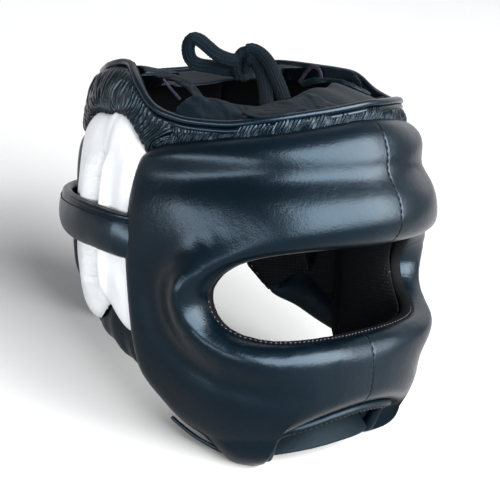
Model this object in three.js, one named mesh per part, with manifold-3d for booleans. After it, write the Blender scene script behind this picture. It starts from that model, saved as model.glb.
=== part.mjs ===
// Full-face padded leather headgear with a wide eye slot, white ear pads and a laced crown.
// Shapes are laid out upright, as worn: x to the wearer's left, y to the back, z up.
// Angle 0 is the middle of the face, 90 the wearer's right ear and 180 the back of the head.
import * as THREE from "three";
import { mergeVertices } from "three/addons/utils/BufferGeometryUtils.js";
import Module from "manifold-3d";

const wasm = await Module();
wasm.setup();

// Driving sizes in millimetres and degrees
const PIECE_GAP = 0.35;
const REST_TILT = 21.5;
const REST_SINK = 2;
const SHELL_THICKNESS = 24;
const SHELL_ROLL = 14;
const LINING_THICKNESS = 1.6;
const LINING_STAND_OFF = 1.35;
const RING_GROOVE_AT = 34;
const RING_GROOVE_WIDTH = 8;
const RING_GROOVE_DEPTH = 4.5;
const RING_CREST_AT = 12;
const RING_CREST_WIDTH = 12;
const RING_CREST_RISE = 3.5;
const TEMPLE_RISE = 11;
const TEMPLE_HEIGHT = 119;
const TEMPLE_WIDTH = 22;
const BROW_GROOVE_HEIGHT = 185;
const BROW_GROOVE_WIDTH = 8;
const BROW_GROOVE_DEPTH = 5;
const CROWN_THICKNESS = 8;
const EAR_PAD_THICKNESS = 16;
const EAR_PAD_BACK_ANGLE = 141;
const EAR_GROOVE_ANGLE = 121;
const BACK_THICKNESS = 13;
const STRAP_WIDTH = 28;
const STRAP_THICKNESS = 8;
const CHIN_STRAP_WIDTH = 26;
const CHIN_STRAP_THICKNESS = 2.6;
const CHIN_STRAP_HALF_SPAN = 40;
const CHIN_STRAP_FRONT = 66;
const CHIN_STRAP_LOW = 12.5;
const BINDING_DIAMETER = 6;
const FLAP_THICKNESS = 3;
const FLAP_REACH = 30;
const EAR_HOLE_ANGLE = 112.4;
const EAR_HOLE_LOW = 100;
const EAR_HOLE_HIGH = 172;
const EAR_HOLE_WIDTH = 20;
const LACE_DIAMETER = 4.5;
const KNOT_WIDTH = 11;
const KNOT_HEIGHT = 18;

// Level sections of the head form, measured to the outer leather
const HEAD_SECTIONS = [
  { height: -5, side: 72, front: 66, back: 114, square: 2.3 },
  { height: 10, side: 79, front: 75, back: 118, square: 2.35 },
  { height: 35, side: 92, front: 87, back: 124, square: 2.55 },
  { height: 60, side: 101, front: 92, back: 129, square: 2.75 },
  { height: 85, side: 106, front: 94, back: 133, square: 2.8 },
  { height: 112, side: 108.5, front: 100, back: 136, square: 2.6 },
  { height: 140, side: 109.5, front: 110, back: 138, square: 2.15 },
  { height: 162, side: 108.5, front: 113.5, back: 138, square: 2.0 },
  { height: 185, side: 105, front: 107, back: 138, square: 2.0 },
  { height: 205, side: 102, front: 100, back: 136, square: 2.0 },
  { height: 222, side: 99, front: 94, back: 133, square: 2.05 },
  { height: 234, side: 96, front: 87, back: 130, square: 2.1 },
  { height: 245, side: 89.5, front: 79, back: 121, square: 2.1 },
  { height: 256, side: 72, front: 66, back: 102, square: 2.1 },
];

// Right half of the face shell, from the middle of the brow round the slot to the middle of the bar
const SHELL_OUTLINE = [
  { slotAngle: 0, slotHeight: 142, edgeAngle: 0, edgeHeight: 218, steps: 3 },
  { slotAngle: 22, slotHeight: 142, edgeAngle: 28, edgeHeight: 214, steps: 3 },
  { slotAngle: 43, slotHeight: 140, edgeAngle: 58, edgeHeight: 209, steps: 2 },
  { slotAngle: 56, slotHeight: 134, edgeAngle: 81, edgeHeight: 205, steps: 2 },
  { slotAngle: 63, slotHeight: 125, edgeAngle: 93, edgeHeight: 194, steps: 2 },
  { slotAngle: 66.5, slotHeight: 113, edgeAngle: 96.3, edgeHeight: 146, steps: 2 },
  { slotAngle: 64, slotHeight: 101, edgeAngle: 95.6, edgeHeight: 92, steps: 2 },
  { slotAngle: 57, slotHeight: 92, edgeAngle: 94, edgeHeight: 54, steps: 2 },
  { slotAngle: 46, slotHeight: 87, edgeAngle: 85, edgeHeight: 31, steps: 2 },
  { slotAngle: 37, slotHeight: 85.6, edgeAngle: 68, edgeHeight: 17, steps: 2 },
  { slotAngle: 31, slotHeight: 85.2, edgeAngle: 61, edgeHeight: 8, steps: 2 },
  { slotAngle: 27, slotHeight: 85, edgeAngle: 55, edgeHeight: 4.6, steps: 2 },
  { slotAngle: 23, slotHeight: 84.7, edgeAngle: 48.5, edgeHeight: 5, steps: 2 },
  { slotAngle: 19, slotHeight: 84.5, edgeAngle: 46, edgeHeight: 14.5, steps: 2 },
  { slotAngle: 14, slotHeight: 84.2, edgeAngle: 40, edgeHeight: 27, steps: 2 },
  { slotAngle: 7, slotHeight: 84, edgeAngle: 21, edgeHeight: 36.2, steps: 2 },
  { slotAngle: 0, slotHeight: 84, edgeAngle: 0, edgeHeight: 38.5, steps: 0 },
];

// Rim of the top opening and lower edge of the crown leather, by angle
const CROWN_LINES = [
  { angle: 0, rimRight: 229, rimLeft: 229, low: 216, inset: 12 },
  { angle: 30, rimRight: 223, rimLeft: 230, low: 212, inset: 16 },
  { angle: 60, rimRight: 218, rimLeft: 228, low: 206, inset: 15 },
  { angle: 78, rimRight: 220, rimLeft: 232, low: 204, inset: 11 },
  { angle: 90, rimRight: 225, rimLeft: 239, low: 197, inset: 10 },
  { angle: 99, rimRight: 235, rimLeft: 244, low: 203, inset: 9 },
  { angle: 108, rimRight: 246, rimLeft: 247, low: 214, inset: 8 },
  { angle: 118, rimRight: 252, rimLeft: 249, low: 220, inset: 7 },
  { angle: 130, rimRight: 252.5, rimLeft: 249, low: 217, inset: 7 },
  { angle: 145, rimRight: 250, rimLeft: 248, low: 205, inset: 7 },
  { angle: 162, rimRight: 246, rimLeft: 246, low: 198, inset: 7 },
  { angle: 180, rimRight: 245, rimLeft: 245, low: 197, inset: 7 },
];

// Lower edges behind the shell: ear pad tips and the neck line
const NECK_LINES = [
  { angle: 88, pad: 92, neck: 53 },
  { angle: 96, pad: 90, neck: 57 },
  { angle: 104, pad: 84, neck: 61 },
  { angle: 112, pad: 97, neck: 66 },
  { angle: 120, pad: 100, neck: 73 },
  { angle: 130, pad: 84, neck: 80 },
  { angle: 138, pad: 100, neck: 96 },
  { angle: 145, pad: 114, neck: 110 },
  { angle: 153, pad: 114, neck: 104 },
  { angle: 160, pad: 114, neck: 80 },
  { angle: 166, pad: 114, neck: 70 },
  { angle: 180, pad: 114, neck: 68 },
];

// Middle height of the strap round the back of the head
const STRAP_LINE = [
  { angle: 90, height: 144, lift: -3 },
  { angle: 98, height: 146, lift: -3 },
  { angle: 108, height: 149, lift: 0 },
  { angle: 120, height: 151.5, lift: 2 },
  { angle: 145, height: 153.5, lift: 2 },
  { angle: 180, height: 154, lift: 2 },
];

const LEATHER = { color: 0x0d1722, roughness: 0.32, metalness: 0 };
const WHITE_LEATHER = { color: 0xe6e8ec, roughness: 0.42, metalness: 0 };
const MESH_LINING = { color: 0x17151d, roughness: 0.85, metalness: 0 };
const LACE_BRAID = { color: 0x0c0e14, roughness: 0.75, metalness: 0 };

const group = new THREE.Group();
group.name = "headgear";
const solids = {};

function toRadians(degrees) {
  return degrees * Math.PI / 180;
}

function mix(first, last, share) {
  return first + (last - first) * share;
}

function curveValue(before, first, last, after, share) {
  const slopeFirst = (last - before) / 2;
  const slopeLast = (after - first) / 2;
  const square = share * share;
  const cube = square * share;
  return (2 * cube - 3 * square + 1) * first + (cube - 2 * square + share) * slopeFirst
    + (3 * square - 2 * cube) * last + (cube - square) * slopeLast;
}

// A column of a table read at a place between its rows
function readTable(rows, key, column, value) {
  let index = 0;
  while (index < rows.length - 2 && value > rows[index + 1][key]) {
    index += 1;
  }
  const first = rows[index];
  const last = rows[index + 1];
  const share = Math.min(1, Math.max(0, (value - first[key]) / (last[key] - first[key])));
  const widthBefore = index > 0 ? first[key] - rows[index - 1][key] : last[key] - first[key];
  const widthAfter = index < rows.length - 2 ? rows[index + 2][key] - last[key] : last[key] - first[key];
  const width = last[key] - first[key];
  const before = index > 0 ? first[column] - (first[column] - rows[index - 1][column]) * width / widthBefore
    : first[column];
  const after = index < rows.length - 2
    ? last[column] + (rows[index + 2][column] - last[column]) * width / widthAfter : last[column];
  return curveValue(before, first[column], last[column], after, share);
}

function headRadius(angle, height) {
  const sideways = Math.abs(Math.sin(toRadians(angle)));
  const forward = Math.cos(toRadians(angle));
  const side = readTable(HEAD_SECTIONS, "height", "side", height);
  const depth = readTable(HEAD_SECTIONS, "height", forward >= 0 ? "front" : "back", height);
  const power = forward >= 0 ? readTable(HEAD_SECTIONS, "height", "square", height) : 2.1;
  return Math.pow(Math.pow(sideways / side, power) + Math.pow(Math.abs(forward) / depth, power), -1 / power);
}

// A point at an angle and height, moved out from the head form by an offset
function onHead(angle, height, offset) {
  const radius = headRadius(angle, height) + offset;
  return new THREE.Vector3(-radius * Math.sin(toRadians(angle)), -radius * Math.cos(toRadians(angle)), height);
}

function foldedAngle(angle) {
  return angle > 180 ? 360 - angle : Math.abs(angle);
}

// Share of the full thickness at a distance from a rolled edge
function edgeRoll(distance, roll, least) {
  const share = Math.min(1, Math.max(0, distance / roll));
  return Math.max(least, Math.sqrt(1 - (1 - share) * (1 - share)));
}

function bump(value, middle, width) {
  const share = (value - middle) / width;
  return Math.exp(-share * share);
}

function smoothStep(low, high, value) {
  const share = Math.min(1, Math.max(0, (value - low) / (high - low)));
  return share * share * (3 - 2 * share);
}

// A closed solid between an outer and an inner grid of points
function gridSolid(outer, inner, wraps) {
  const columns = outer.length;
  const rows = [outer[0].length, inner[0].length];
  const positions = [];
  for (const grid of [outer, inner]) {
    for (const line of grid) {
      for (const point of line) {
        positions.push(point.x, point.y, point.z);
      }
    }
  }
  const at = (side, column, row) => side * columns * rows[0] + (column % columns) * rows[side] + row;
  const faces = [];
  const quad = (a, b, c, d) => faces.push(a, b, c, a, c, d);
  const lastColumn = wraps ? columns : columns - 1;
  const outerLast = rows[0] - 1;
  const innerLast = rows[1] - 1;
  for (let column = 0; column < lastColumn; column += 1) {
    const next = column + 1;
    for (let row = 0; row < outerLast; row += 1) {
      quad(at(0, column, row), at(0, next, row), at(0, next, row + 1), at(0, column, row + 1));
    }
    for (let row = 0; row < innerLast; row += 1) {
      quad(at(1, column, row), at(1, column, row + 1), at(1, next, row + 1), at(1, next, row));
    }
    quad(at(1, column, 0), at(1, next, 0), at(0, next, 0), at(0, column, 0));
    quad(at(0, column, outerLast), at(0, next, outerLast), at(1, next, innerLast), at(1, column, innerLast));
  }
  if (!wraps) {
    const end = columns - 1;
    for (let row = 0; row < outerLast; row += 1) {
      quad(at(0, 0, row), at(0, 0, row + 1), at(1, 0, row + 1), at(1, 0, row));
      quad(at(1, end, row), at(1, end, row + 1), at(0, end, row + 1), at(0, end, row));
    }
  }
  return toManifold(positions, faces);
}

function signedVolume(positions, faces) {
  const corner = [new THREE.Vector3(), new THREE.Vector3(), new THREE.Vector3()];
  let total = 0;
  for (let index = 0; index < faces.length; index += 3) {
    for (let place = 0; place < 3; place += 1) {
      corner[place].fromArray(positions, faces[index + place] * 3);
    }
    total += corner[0].dot(corner[1].cross(corner[2])) / 6;
  }
  return total;
}

// Every solid is leaned back by the rest angle as it is made
const lean = new THREE.Matrix4().makeRotationX(-toRadians(REST_TILT));

function toManifold(upright, faces, matrix) {
  const triangles = Uint32Array.from(faces);
  const positions = new THREE.BufferAttribute(Float32Array.from(upright), 3).applyMatrix4(matrix || lean).array;
  if (signedVolume(positions, faces) < 0) {
    for (let index = 0; index < triangles.length; index += 3) {
      [triangles[index], triangles[index + 1]] = [triangles[index + 1], triangles[index]];
    }
  }
  const mesh = new wasm.Mesh({ numProp: 3, vertProperties: positions, triVerts: triangles });
  return new wasm.Manifold(mesh);
}

function geometryManifold(geometry, matrix) {
  geometry.deleteAttribute("normal");
  geometry.deleteAttribute("uv");
  const merged = mergeVertices(geometry, 1e-4);
  return toManifold(Array.from(merged.attributes.position.array), Array.from(merged.index.array), matrix);
}

// Even steps drawn towards both ends, so that rolled edges get more lines
function drawnToEnds(index, count) {
  const share = index / count;
  return mix(share, 0.5 - 0.5 * Math.cos(Math.PI * share), 0.6);
}

// A padded piece of the head form between two angles and two height lines
function headPiece({ startAngle, endAngle, low, high, columns, rows, base, thickness, roll, least, relief, limit }) {
  const outer = [];
  const inner = [];
  for (let column = 0; column <= columns; column += 1) {
    const across = drawnToEnds(column, columns);
    outer.push([]);
    inner.push([]);
    for (let row = 0; row <= rows; row += 1) {
      const upward = drawnToEnds(row, rows);
      let angle = mix(startAngle(130), endAngle(130), across);
      let height = mix(low(angle), high(angle), upward);
      for (let pass = 0; pass < 3; pass += 1) {
        angle = mix(startAngle(height), endAngle(height), across);
        height = mix(low(angle), high(angle), upward);
      }
      const width = toRadians(Math.abs(endAngle(height) - startAngle(height))) * headRadius(angle, height);
      const fromEnds = Math.min(across, 1 - across) * width;
      const fromLines = Math.min(upward, 1 - upward) * (high(angle) - low(angle));
      const share = edgeRoll(fromEnds, roll, least) * edgeRoll(fromLines, roll, least);
      const raise = relief ? relief(angle, height, upward, across) * share : 0;
      const middle = base(angle, upward);
      let out = middle + thickness * share / 2 + raise;
      if (limit) {
        out = Math.min(out, limit(angle, height));
      }
      outer[column].push(onHead(angle, height, out));
      inner[column].push(onHead(angle, height, middle - thickness * share / 2));
    }
  }
  return gridSolid(outer, inner, false);
}

// Face shell: rows of the outline are joined into one smooth ring of slot and edge points
function ringPoints() {
  const whole = SHELL_OUTLINE.slice();
  for (let index = SHELL_OUTLINE.length - 2; index > 0; index -= 1) {
    const row = SHELL_OUTLINE[index];
    whole.push({
      slotAngle: -row.slotAngle, slotHeight: row.slotHeight,
      edgeAngle: -row.edgeAngle, edgeHeight: row.edgeHeight, steps: 0,
    });
  }
  const count = whole.length;
  const last = SHELL_OUTLINE.length - 1;
  const points = [];
  for (let index = 0; index < count; index += 1) {
    const steps = index < last ? SHELL_OUTLINE[index].steps : SHELL_OUTLINE[count - index - 1].steps;
    for (let step = 0; step < steps; step += 1) {
      const point = {};
      for (const column of ["slotAngle", "slotHeight", "edgeAngle", "edgeHeight"]) {
        const value = (place) => whole[(place + count) % count][column];
        point[column] = curveValue(value(index - 1), value(index), value(index + 1), value(index + 2), step / steps);
      }
      points.push(point);
    }
  }
  return points;
}

const RING = ringPoints();

function shellPlace(point, share) {
  const angle = mix(point.slotAngle, point.edgeAngle, share);
  const height = mix(point.slotHeight, point.edgeHeight, share);
  return { angle, height };
}

function shellWidth(point) {
  const slot = onHead(point.slotAngle, point.slotHeight, 0);
  return slot.distanceTo(onHead(point.edgeAngle, point.edgeHeight, 0));
}

function shellOffsets(point, share) {
  const { angle, height } = shellPlace(point, share);
  const width = shellWidth(point);
  const fromSlot = share * width;
  const fromEdge = (1 - share) * width;
  const rolled = edgeRoll(fromSlot, SHELL_ROLL, 0.2) * edgeRoll(fromEdge, 12, 0.3);
  const besideSlot = smoothStep(20, 60, Math.abs(angle)) * smoothStep(152, 130, height) * smoothStep(45, 60, width);
  const ringGroove = RING_GROOVE_DEPTH * besideSlot * bump(fromSlot, RING_GROOVE_AT, RING_GROOVE_WIDTH);
  const crestRise = RING_CREST_RISE + TEMPLE_RISE * bump(height, TEMPLE_HEIGHT, TEMPLE_WIDTH);
  const ringCrest = crestRise * besideSlot * bump(fromSlot, RING_CREST_AT, RING_CREST_WIDTH);
  const browGroove = BROW_GROOVE_DEPTH * bump(height, BROW_GROOVE_HEIGHT, BROW_GROOVE_WIDTH);
  const half = SHELL_THICKNESS / 2;
  return {
    angle, height,
    outer: -half + half * rolled + (ringCrest - ringGroove - browGroove) * rolled,
    inner: -half - half * rolled,
  };
}

const SHELL_ROWS = 14;

function shellGrid(side, rowShares) {
  return RING.map((point) => rowShares.map((share) => {
    const place = shellOffsets(point, share);
    return onHead(place.angle, place.height, place[side]);
  }));
}

const SHELL_SHARES = Array.from({ length: SHELL_ROWS + 1 }, (_, index) => drawnToEnds(index, SHELL_ROWS));
const SHELL_INNER_SHARES = SHELL_SHARES.filter((_, index) => [0, 1, 2, 4, 8, 12, 14].includes(index));
solids.face_shell = gridSolid(shellGrid("outer", SHELL_SHARES), shellGrid("inner", SHELL_INNER_SHARES), true);

// Mesh lining: a thin wall that follows the inner side of the shell from inside the slot edge
const LINING_SHARES = SHELL_SHARES.filter((_, index) => [1, 2, 4, 8, 12].includes(index));
const liningBase = shellGrid("inner", LINING_SHARES);

function gridNormal(grid, column, row, wraps) {
  const columns = grid.length;
  const rows = grid[0].length;
  const next = wraps ? (column + 1) % columns : Math.min(columns - 1, column + 1);
  const previous = wraps ? (column + columns - 1) % columns : Math.max(0, column - 1);
  const along = grid[next][row].clone().sub(grid[previous][row]);
  const over = grid[column][Math.min(rows - 1, row + 1)].clone().sub(grid[column][Math.max(0, row - 1)]);
  return along.cross(over).normalize();
}

function movedGrid(grid, wraps, distance) {
  return grid.map((line, column) => line.map((point, row) => {
    return point.clone().addScaledVector(gridNormal(grid, column, row, wraps), distance);
  }));
}

const inwards = gridNormal(liningBase, 0, 4, true).y > 0 ? 1 : -1;
solids.face_lining = gridSolid(
  movedGrid(liningBase, true, inwards * LINING_STAND_OFF),
  movedGrid(liningBase, true, inwards * (LINING_STAND_OFF + LINING_THICKNESS)),
  true,
);

// Rear edge and top edge of the shell, read back for the pieces beside it
const rightEdge = RING.filter((point) => point.edgeAngle > 0 && point.edgeHeight > 20);

function shellRearAngle(height) {
  let angle = 92;
  for (let index = 0; index < rightEdge.length - 1; index += 1) {
    const upper = rightEdge[index];
    const lower = rightEdge[index + 1];
    if (upper.edgeAngle > 70 && height <= upper.edgeHeight && height > lower.edgeHeight) {
      angle = mix(lower.edgeAngle, upper.edgeAngle, (height - lower.edgeHeight) / (upper.edgeHeight - lower.edgeHeight));
    }
  }
  return angle;
}

function shellTopHeight(angle) {
  let height = 200;
  for (let index = 0; index < rightEdge.length - 1; index += 1) {
    const near = rightEdge[index];
    const far = rightEdge[index + 1];
    if (near.edgeHeight > 180 && angle >= near.edgeAngle && angle < far.edgeAngle) {
      height = mix(near.edgeHeight, far.edgeHeight, (angle - near.edgeAngle) / (far.edgeAngle - near.edgeAngle));
    }
  }
  return angle < rightEdge[0].edgeAngle ? rightEdge[0].edgeHeight : height;
}

const isLeft = (angle) => angle < 0 || angle > 180;
const rimLine = (angle) => {
  return readTable(CROWN_LINES, "angle", isLeft(angle) ? "rimLeft" : "rimRight", foldedAngle(angle));
};
const crownInset = (angle) => readTable(CROWN_LINES, "angle", "inset", foldedAngle(angle));
const crownSeat = (angle) => mix(SHELL_THICKNESS / 2, crownInset(angle), smoothStep(85, 98, foldedAngle(angle)));
const padLow = (angle) => readTable(NECK_LINES, "angle", "pad", foldedAngle(angle));
const neckLine = (angle) => readTable(NECK_LINES, "angle", "neck", foldedAngle(angle));
const strapHeight = (angle) => readTable(STRAP_LINE, "angle", "height", foldedAngle(angle));
const strapLift = (angle) => readTable(STRAP_LINE, "angle", "lift", foldedAngle(angle));

function crownLow(angle) {
  const folded = foldedAngle(angle);
  const low = readTable(CROWN_LINES, "angle", "low", folded);
  return folded < 95 ? Math.max(low, shellTopHeight(folded) + 0.8) : low;
}

// Rolled rim and a second ridge below it, with gathers or pleats in the leather under them
function crownRelief(gathers, depth) {
  return (angle, height, upward) => {
    const belowRim = (1 - upward) * (rimLine(angle) - crownLow(angle));
    const rim = 2 * bump(belowRim, 2.5, 2.5) + 1.4 * bump(belowRim, 8.5, 2.5);
    return rim + depth * Math.sin(gathers * toRadians(angle)) * smoothStep(8, 14, belowRim);
  };
}

function crownPiece(startAngle, endAngle, columns, rows, gathers, depth) {
  return headPiece({
    startAngle: () => startAngle, endAngle: () => endAngle,
    low: crownLow, high: rimLine, columns, rows,
    base: (angle, upward) => -mix(crownSeat(angle), crownInset(angle), upward), thickness: CROWN_THICKNESS, roll: 4, least: 0.45,
    relief: crownRelief(gathers, depth),
  });
}

solids.crown_front = crownPiece(-83, 83, 34, 4, 60, 0.5);
solids.crown_side_right = crownPiece(83.4, 148, 18, 5, 46, 0.6);
solids.crown_side_left = crownPiece(-83.4, -148, 18, 5, 46, 0.6);
solids.crown_back = crownPiece(148.4, 211.6, 16, 5, 46, 0.6);

// The ear pads and the back panel give way under the strap
function underStrap(angle, height) {
  const away = Math.abs(height - strapHeight(angle));
  const inside = strapLift(angle) - STRAP_THICKNESS / 2 - 0.8;
  return inside + 14 * smoothStep(STRAP_WIDTH / 2 + 1.5, STRAP_WIDTH / 2 + 10, away);
}

// White ear pads: two upright rolls with a groove between them
function earPad(side) {
  return headPiece({
    startAngle: (height) => side * (shellRearAngle(height) + 0.4 + 1.6 * smoothStep(170, 200, height)),
    endAngle: () => side * EAR_PAD_BACK_ANGLE,
    low: (angle) => padLow(angle),
    high: (angle) => crownLow(angle) - 2 * PIECE_GAP,
    columns: 14, rows: 9,
    base: () => -EAR_PAD_THICKNESS / 2 - 2, thickness: EAR_PAD_THICKNESS, roll: 14, least: 0.3,
    relief: (angle) => -5.5 * bump(foldedAngle(angle), EAR_GROOVE_ANGLE, 3.2),
    limit: underStrap,
  });
}

solids.ear_pad_right = earPad(1);
solids.ear_pad_left = earPad(-1);

// Folded leather between the ear pad tips and the neck line
function jawGusset(side) {
  return headPiece({
    startAngle: (height) => side * (shellRearAngle(height) + 0.4),
    endAngle: () => side * EAR_PAD_BACK_ANGLE,
    low: (angle) => neckLine(angle),
    high: (angle) => padLow(angle) - 2 * PIECE_GAP,
    columns: 14, rows: 3,
    base: () => -13, thickness: 9, roll: 5, least: 0.45,
  });
}

solids.jaw_gusset_right = jawGusset(1);
solids.jaw_gusset_left = jawGusset(-1);

// Back of the head, with a short tail at the nape
solids.back_panel = headPiece({
  startAngle: () => EAR_PAD_BACK_ANGLE + 0.3,
  endAngle: () => 360 - EAR_PAD_BACK_ANGLE - 0.3,
  low: (angle) => neckLine(angle),
  high: (angle) => crownLow(angle) - 2 * PIECE_GAP,
  columns: 14, rows: 9,
  base: () => -BACK_THICKNESS / 2 - 2, thickness: BACK_THICKNESS, roll: 9, least: 0.4,
  limit: underStrap,
});

// Padded strap round the back, over ear pads and back panel
solids.back_strap = headPiece({
  startAngle: () => 97.6,
  endAngle: () => 360 - 97.6,
  low: (angle) => strapHeight(angle) - STRAP_WIDTH / 2,
  high: (angle) => strapHeight(angle) + STRAP_WIDTH / 2,
  columns: 30, rows: 4,
  base: strapLift, thickness: STRAP_THICKNESS, roll: 5, least: 0.4,
});

// Dark lining inside each ear pad, with a narrow pointed ear hole
function earHole(side) {
  const middle = (EAR_HOLE_LOW + EAR_HOLE_HIGH) / 2;
  const half = (EAR_HOLE_HIGH - EAR_HOLE_LOW) / 2;
  const outline = new THREE.Shape();
  outline.moveTo(0, -half);
  outline.quadraticCurveTo(EAR_HOLE_WIDTH, 0, 0, half);
  outline.quadraticCurveTo(-EAR_HOLE_WIDTH, 0, 0, -half);
  const lens = new THREE.ExtrudeGeometry(outline, { depth: 60, bevelEnabled: false, curveSegments: 4 });
  const place = onHead(side * EAR_HOLE_ANGLE, middle, -50);
  const ahead = onHead(side * EAR_HOLE_ANGLE, middle, 0);
  const turn = new THREE.Matrix4().lookAt(ahead, place, new THREE.Vector3(0, 0, 1));
  lens.applyMatrix4(turn);
  lens.translate(place.x, place.y, place.z);
  return geometryManifold(lens);
}

function earLining(side) {
  const sheet = headPiece({
    startAngle: (height) => side * (shellRearAngle(height) + 0.8),
    endAngle: () => side * (EAR_PAD_BACK_ANGLE - 0.4),
    low: (angle) => padLow(angle) + 0.5,
    high: (angle) => crownLow(angle) - 8,
    columns: 8, rows: 4,
    base: () => -EAR_PAD_THICKNESS - 3.3, thickness: LINING_THICKNESS, roll: 1, least: 1,
  });
  return sheet.subtract(earHole(side));
}

solids.ear_lining_right = earLining(1);
solids.ear_lining_left = earLining(-1);

// Soft flaps turned in from the rim: the front one rises, the back one falls towards the lace
function crownFlap(startAngle, endAngle, columns, rise) {
  const middle = [];
  for (let column = 0; column <= columns; column += 1) {
    const angle = mix(startAngle, endAngle, column / columns);
    const top = rimLine(angle) - 6;
    const narrowest = Math.min(headRadius(angle, top - 2), headRadius(angle, top + 2));
    const radius = narrowest - crownInset(angle) - CROWN_THICKNESS / 2 - 0.5;
    const line = [];
    for (let row = 0; row <= 3; row += 1) {
      const share = row / 3;
      const taper = smoothStep(0, 0.2, column / columns) * smoothStep(1, 0.8, column / columns);
      const reach = radius - FLAP_REACH * mix(0.3, 1, taper) * share;
      const lift = ((rise + 6) * taper + 1.2 * Math.sin(toRadians(angle) * 9)) * share;
      line.push(new THREE.Vector3(
        -reach * Math.sin(toRadians(angle)), -reach * Math.cos(toRadians(angle)), top + lift));
    }
    middle.push(line);
  }
  return gridSolid(
    movedGrid(middle, false, FLAP_THICKNESS / 2), movedGrid(middle, false, -FLAP_THICKNESS / 2), false);
}

solids.crown_flap_front = crownFlap(-74, 74, 20, 5);
solids.crown_flap_back = crownFlap(100, 260, 22, -14);

// Narrow bound edge along the chin arch, just inside the edge of the shell
function archEdge() {
  const arch = RING.filter((point) => point.edgeHeight > 9 && point.edgeHeight < 45 && Math.abs(point.edgeAngle) < 48);
  arch.sort((first, second) => first.edgeAngle - second.edgeAngle);
  return arch.map((point) => {
    const steep = smoothStep(28, 44, Math.abs(point.edgeAngle));
    const away = BINDING_DIAMETER / 2 - 1;
    const angle = point.edgeAngle - Math.sign(point.edgeAngle) * steep * away * 0.85;
    return onHead(angle, point.edgeHeight - away * (1 - 0.75 * steep), -SHELL_THICKNESS / 2);
  });
}

function tube(points, diameter, steps, sides) {
  const path = new THREE.CatmullRomCurve3(points, false, "centripetal");
  const circle = new THREE.Shape();
  circle.absarc(0, 0, diameter / 2, 0, 2 * Math.PI, false);
  const shape = new THREE.Shape(circle.getPoints(sides).slice(0, sides));
  const geometry = new THREE.ExtrudeGeometry(shape, { steps, extrudePath: path, bevelEnabled: false });
  return geometryManifold(geometry);
}

solids.chin_binding = tube(archEdge(), BINDING_DIAMETER, 18, 8);

// Chin strap: one band under the chin, sewn in at both jaw tips
function chinStrap() {
  const middle = [];
  for (let column = 0; column <= 16; column += 1) {
    const across = mix(-1, 1, column / 16);
    const front = -CHIN_STRAP_FRONT + 15 * Math.pow(Math.abs(across), 2.4);
    const low = CHIN_STRAP_LOW - 3.5 * across * across;
    const line = [];
    for (let row = 0; row <= 3; row += 1) {
      const share = row / 3;
      line.push(new THREE.Vector3(
        CHIN_STRAP_HALF_SPAN * across, front + 0.5 * CHIN_STRAP_WIDTH * share, low + 0.86 * CHIN_STRAP_WIDTH * share));
    }
    middle.push(line);
  }
  return gridSolid(
    movedGrid(middle, false, CHIN_STRAP_THICKNESS / 2), movedGrid(middle, false, -CHIN_STRAP_THICKNESS / 2), false);
}

solids.chin_strap = chinStrap();

// Lace: a knot over the opening, a loop towards the back and two strands down to the front flap
const KNOT = { x: -10, y: 8.5, z: 247 };
const LACE_LOOP = [
  { x: -13.8, y: 8.8, z: 250.2 },
  { x: -16.8, y: 12.1, z: 250.2 },
  { x: -19.3, y: 15.8, z: 251.4 },
  { x: -22.4, y: 20.4, z: 253.9 },
  { x: -25.2, y: 25.2, z: 258.3 },
  { x: -27.8, y: 29.7, z: 262.4 },
  { x: -29.8, y: 33.6, z: 263.4 },
  { x: -31.4, y: 36.1, z: 260.4 },
  { x: -31.6, y: 36.5, z: 255.0 },
  { x: -30.1, y: 35.2, z: 250.0 },
  { x: -26.5, y: 32.1, z: 247.1 },
  { x: -21.4, y: 26.4, z: 245.8 },
  { x: -17.1, y: 19.9, z: 244.3 },
  { x: -13.9, y: 14.9, z: 243.7 },
  { x: -11.6, y: 11.0, z: 243.7 },
];
const LACE_END_LEFT = [
  { x: -10.1, y: 6.2, z: 255.8 },
  { x: -7.7, y: 2.3, z: 256.5 },
  { x: -7.1, y: -4.9, z: 253.5 },
  { x: -9.6, y: -14.1, z: 247.5 },
  { x: -13.9, y: -23.2, z: 239.8 },
  { x: -18.6, y: -31.6, z: 232.9 },
  { x: -23.2, y: -38.8, z: 226.6 },
];
const LACE_END_RIGHT = [
  { x: -10.5, y: 4.0, z: 250.8 },
  { x: -9.6, y: -2.0, z: 248.4 },
  { x: -12.3, y: -9.3, z: 243.1 },
  { x: -18.5, y: -17.6, z: 236.1 },
  { x: -25.2, y: -25.2, z: 229.8 },
  { x: -34.2, y: -34.0, z: 223.9 },
];

function lace(route, steps) {
  return tube(route.map((point) => new THREE.Vector3(point.x, point.y, point.z)), LACE_DIAMETER, steps, 8);
}

function knot(margin) {
  const ball = new THREE.SphereGeometry(0.5, 12, 8);
  ball.scale(KNOT_WIDTH + margin, KNOT_WIDTH + margin, KNOT_HEIGHT + margin);
  ball.translate(KNOT.x, KNOT.y, KNOT.z);
  return geometryManifold(ball);
}

solids.lace_knot = knot(0);
const knotSpace = knot(2 * PIECE_GAP);
solids.lace_loop = lace(LACE_LOOP, 14).subtract(knotSpace);
solids.lace_end_left = lace(LACE_END_LEFT, 10).subtract(knotSpace);
solids.lace_end_right = lace(LACE_END_RIGHT, 8).subtract(knotSpace);

// Jaw tips and nape are pressed flat by the floor plane
const REST_PLANE = lowestPoint() + REST_SINK;

function lowestPoint() {
  return Math.min(...Object.values(solids).map((solid) => solid.boundingBox().min[2]));
}

function floorBlock() {
  const block = new THREE.BoxGeometry(600, 600, 100);
  block.translate(0, 0, REST_PLANE - 50);
  return geometryManifold(block, new THREE.Matrix4());
}

const floor = floorBlock();
for (const name of ["face_shell", "back_panel"]) {
  solids[name] = solids[name].subtract(floor);
}

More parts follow.
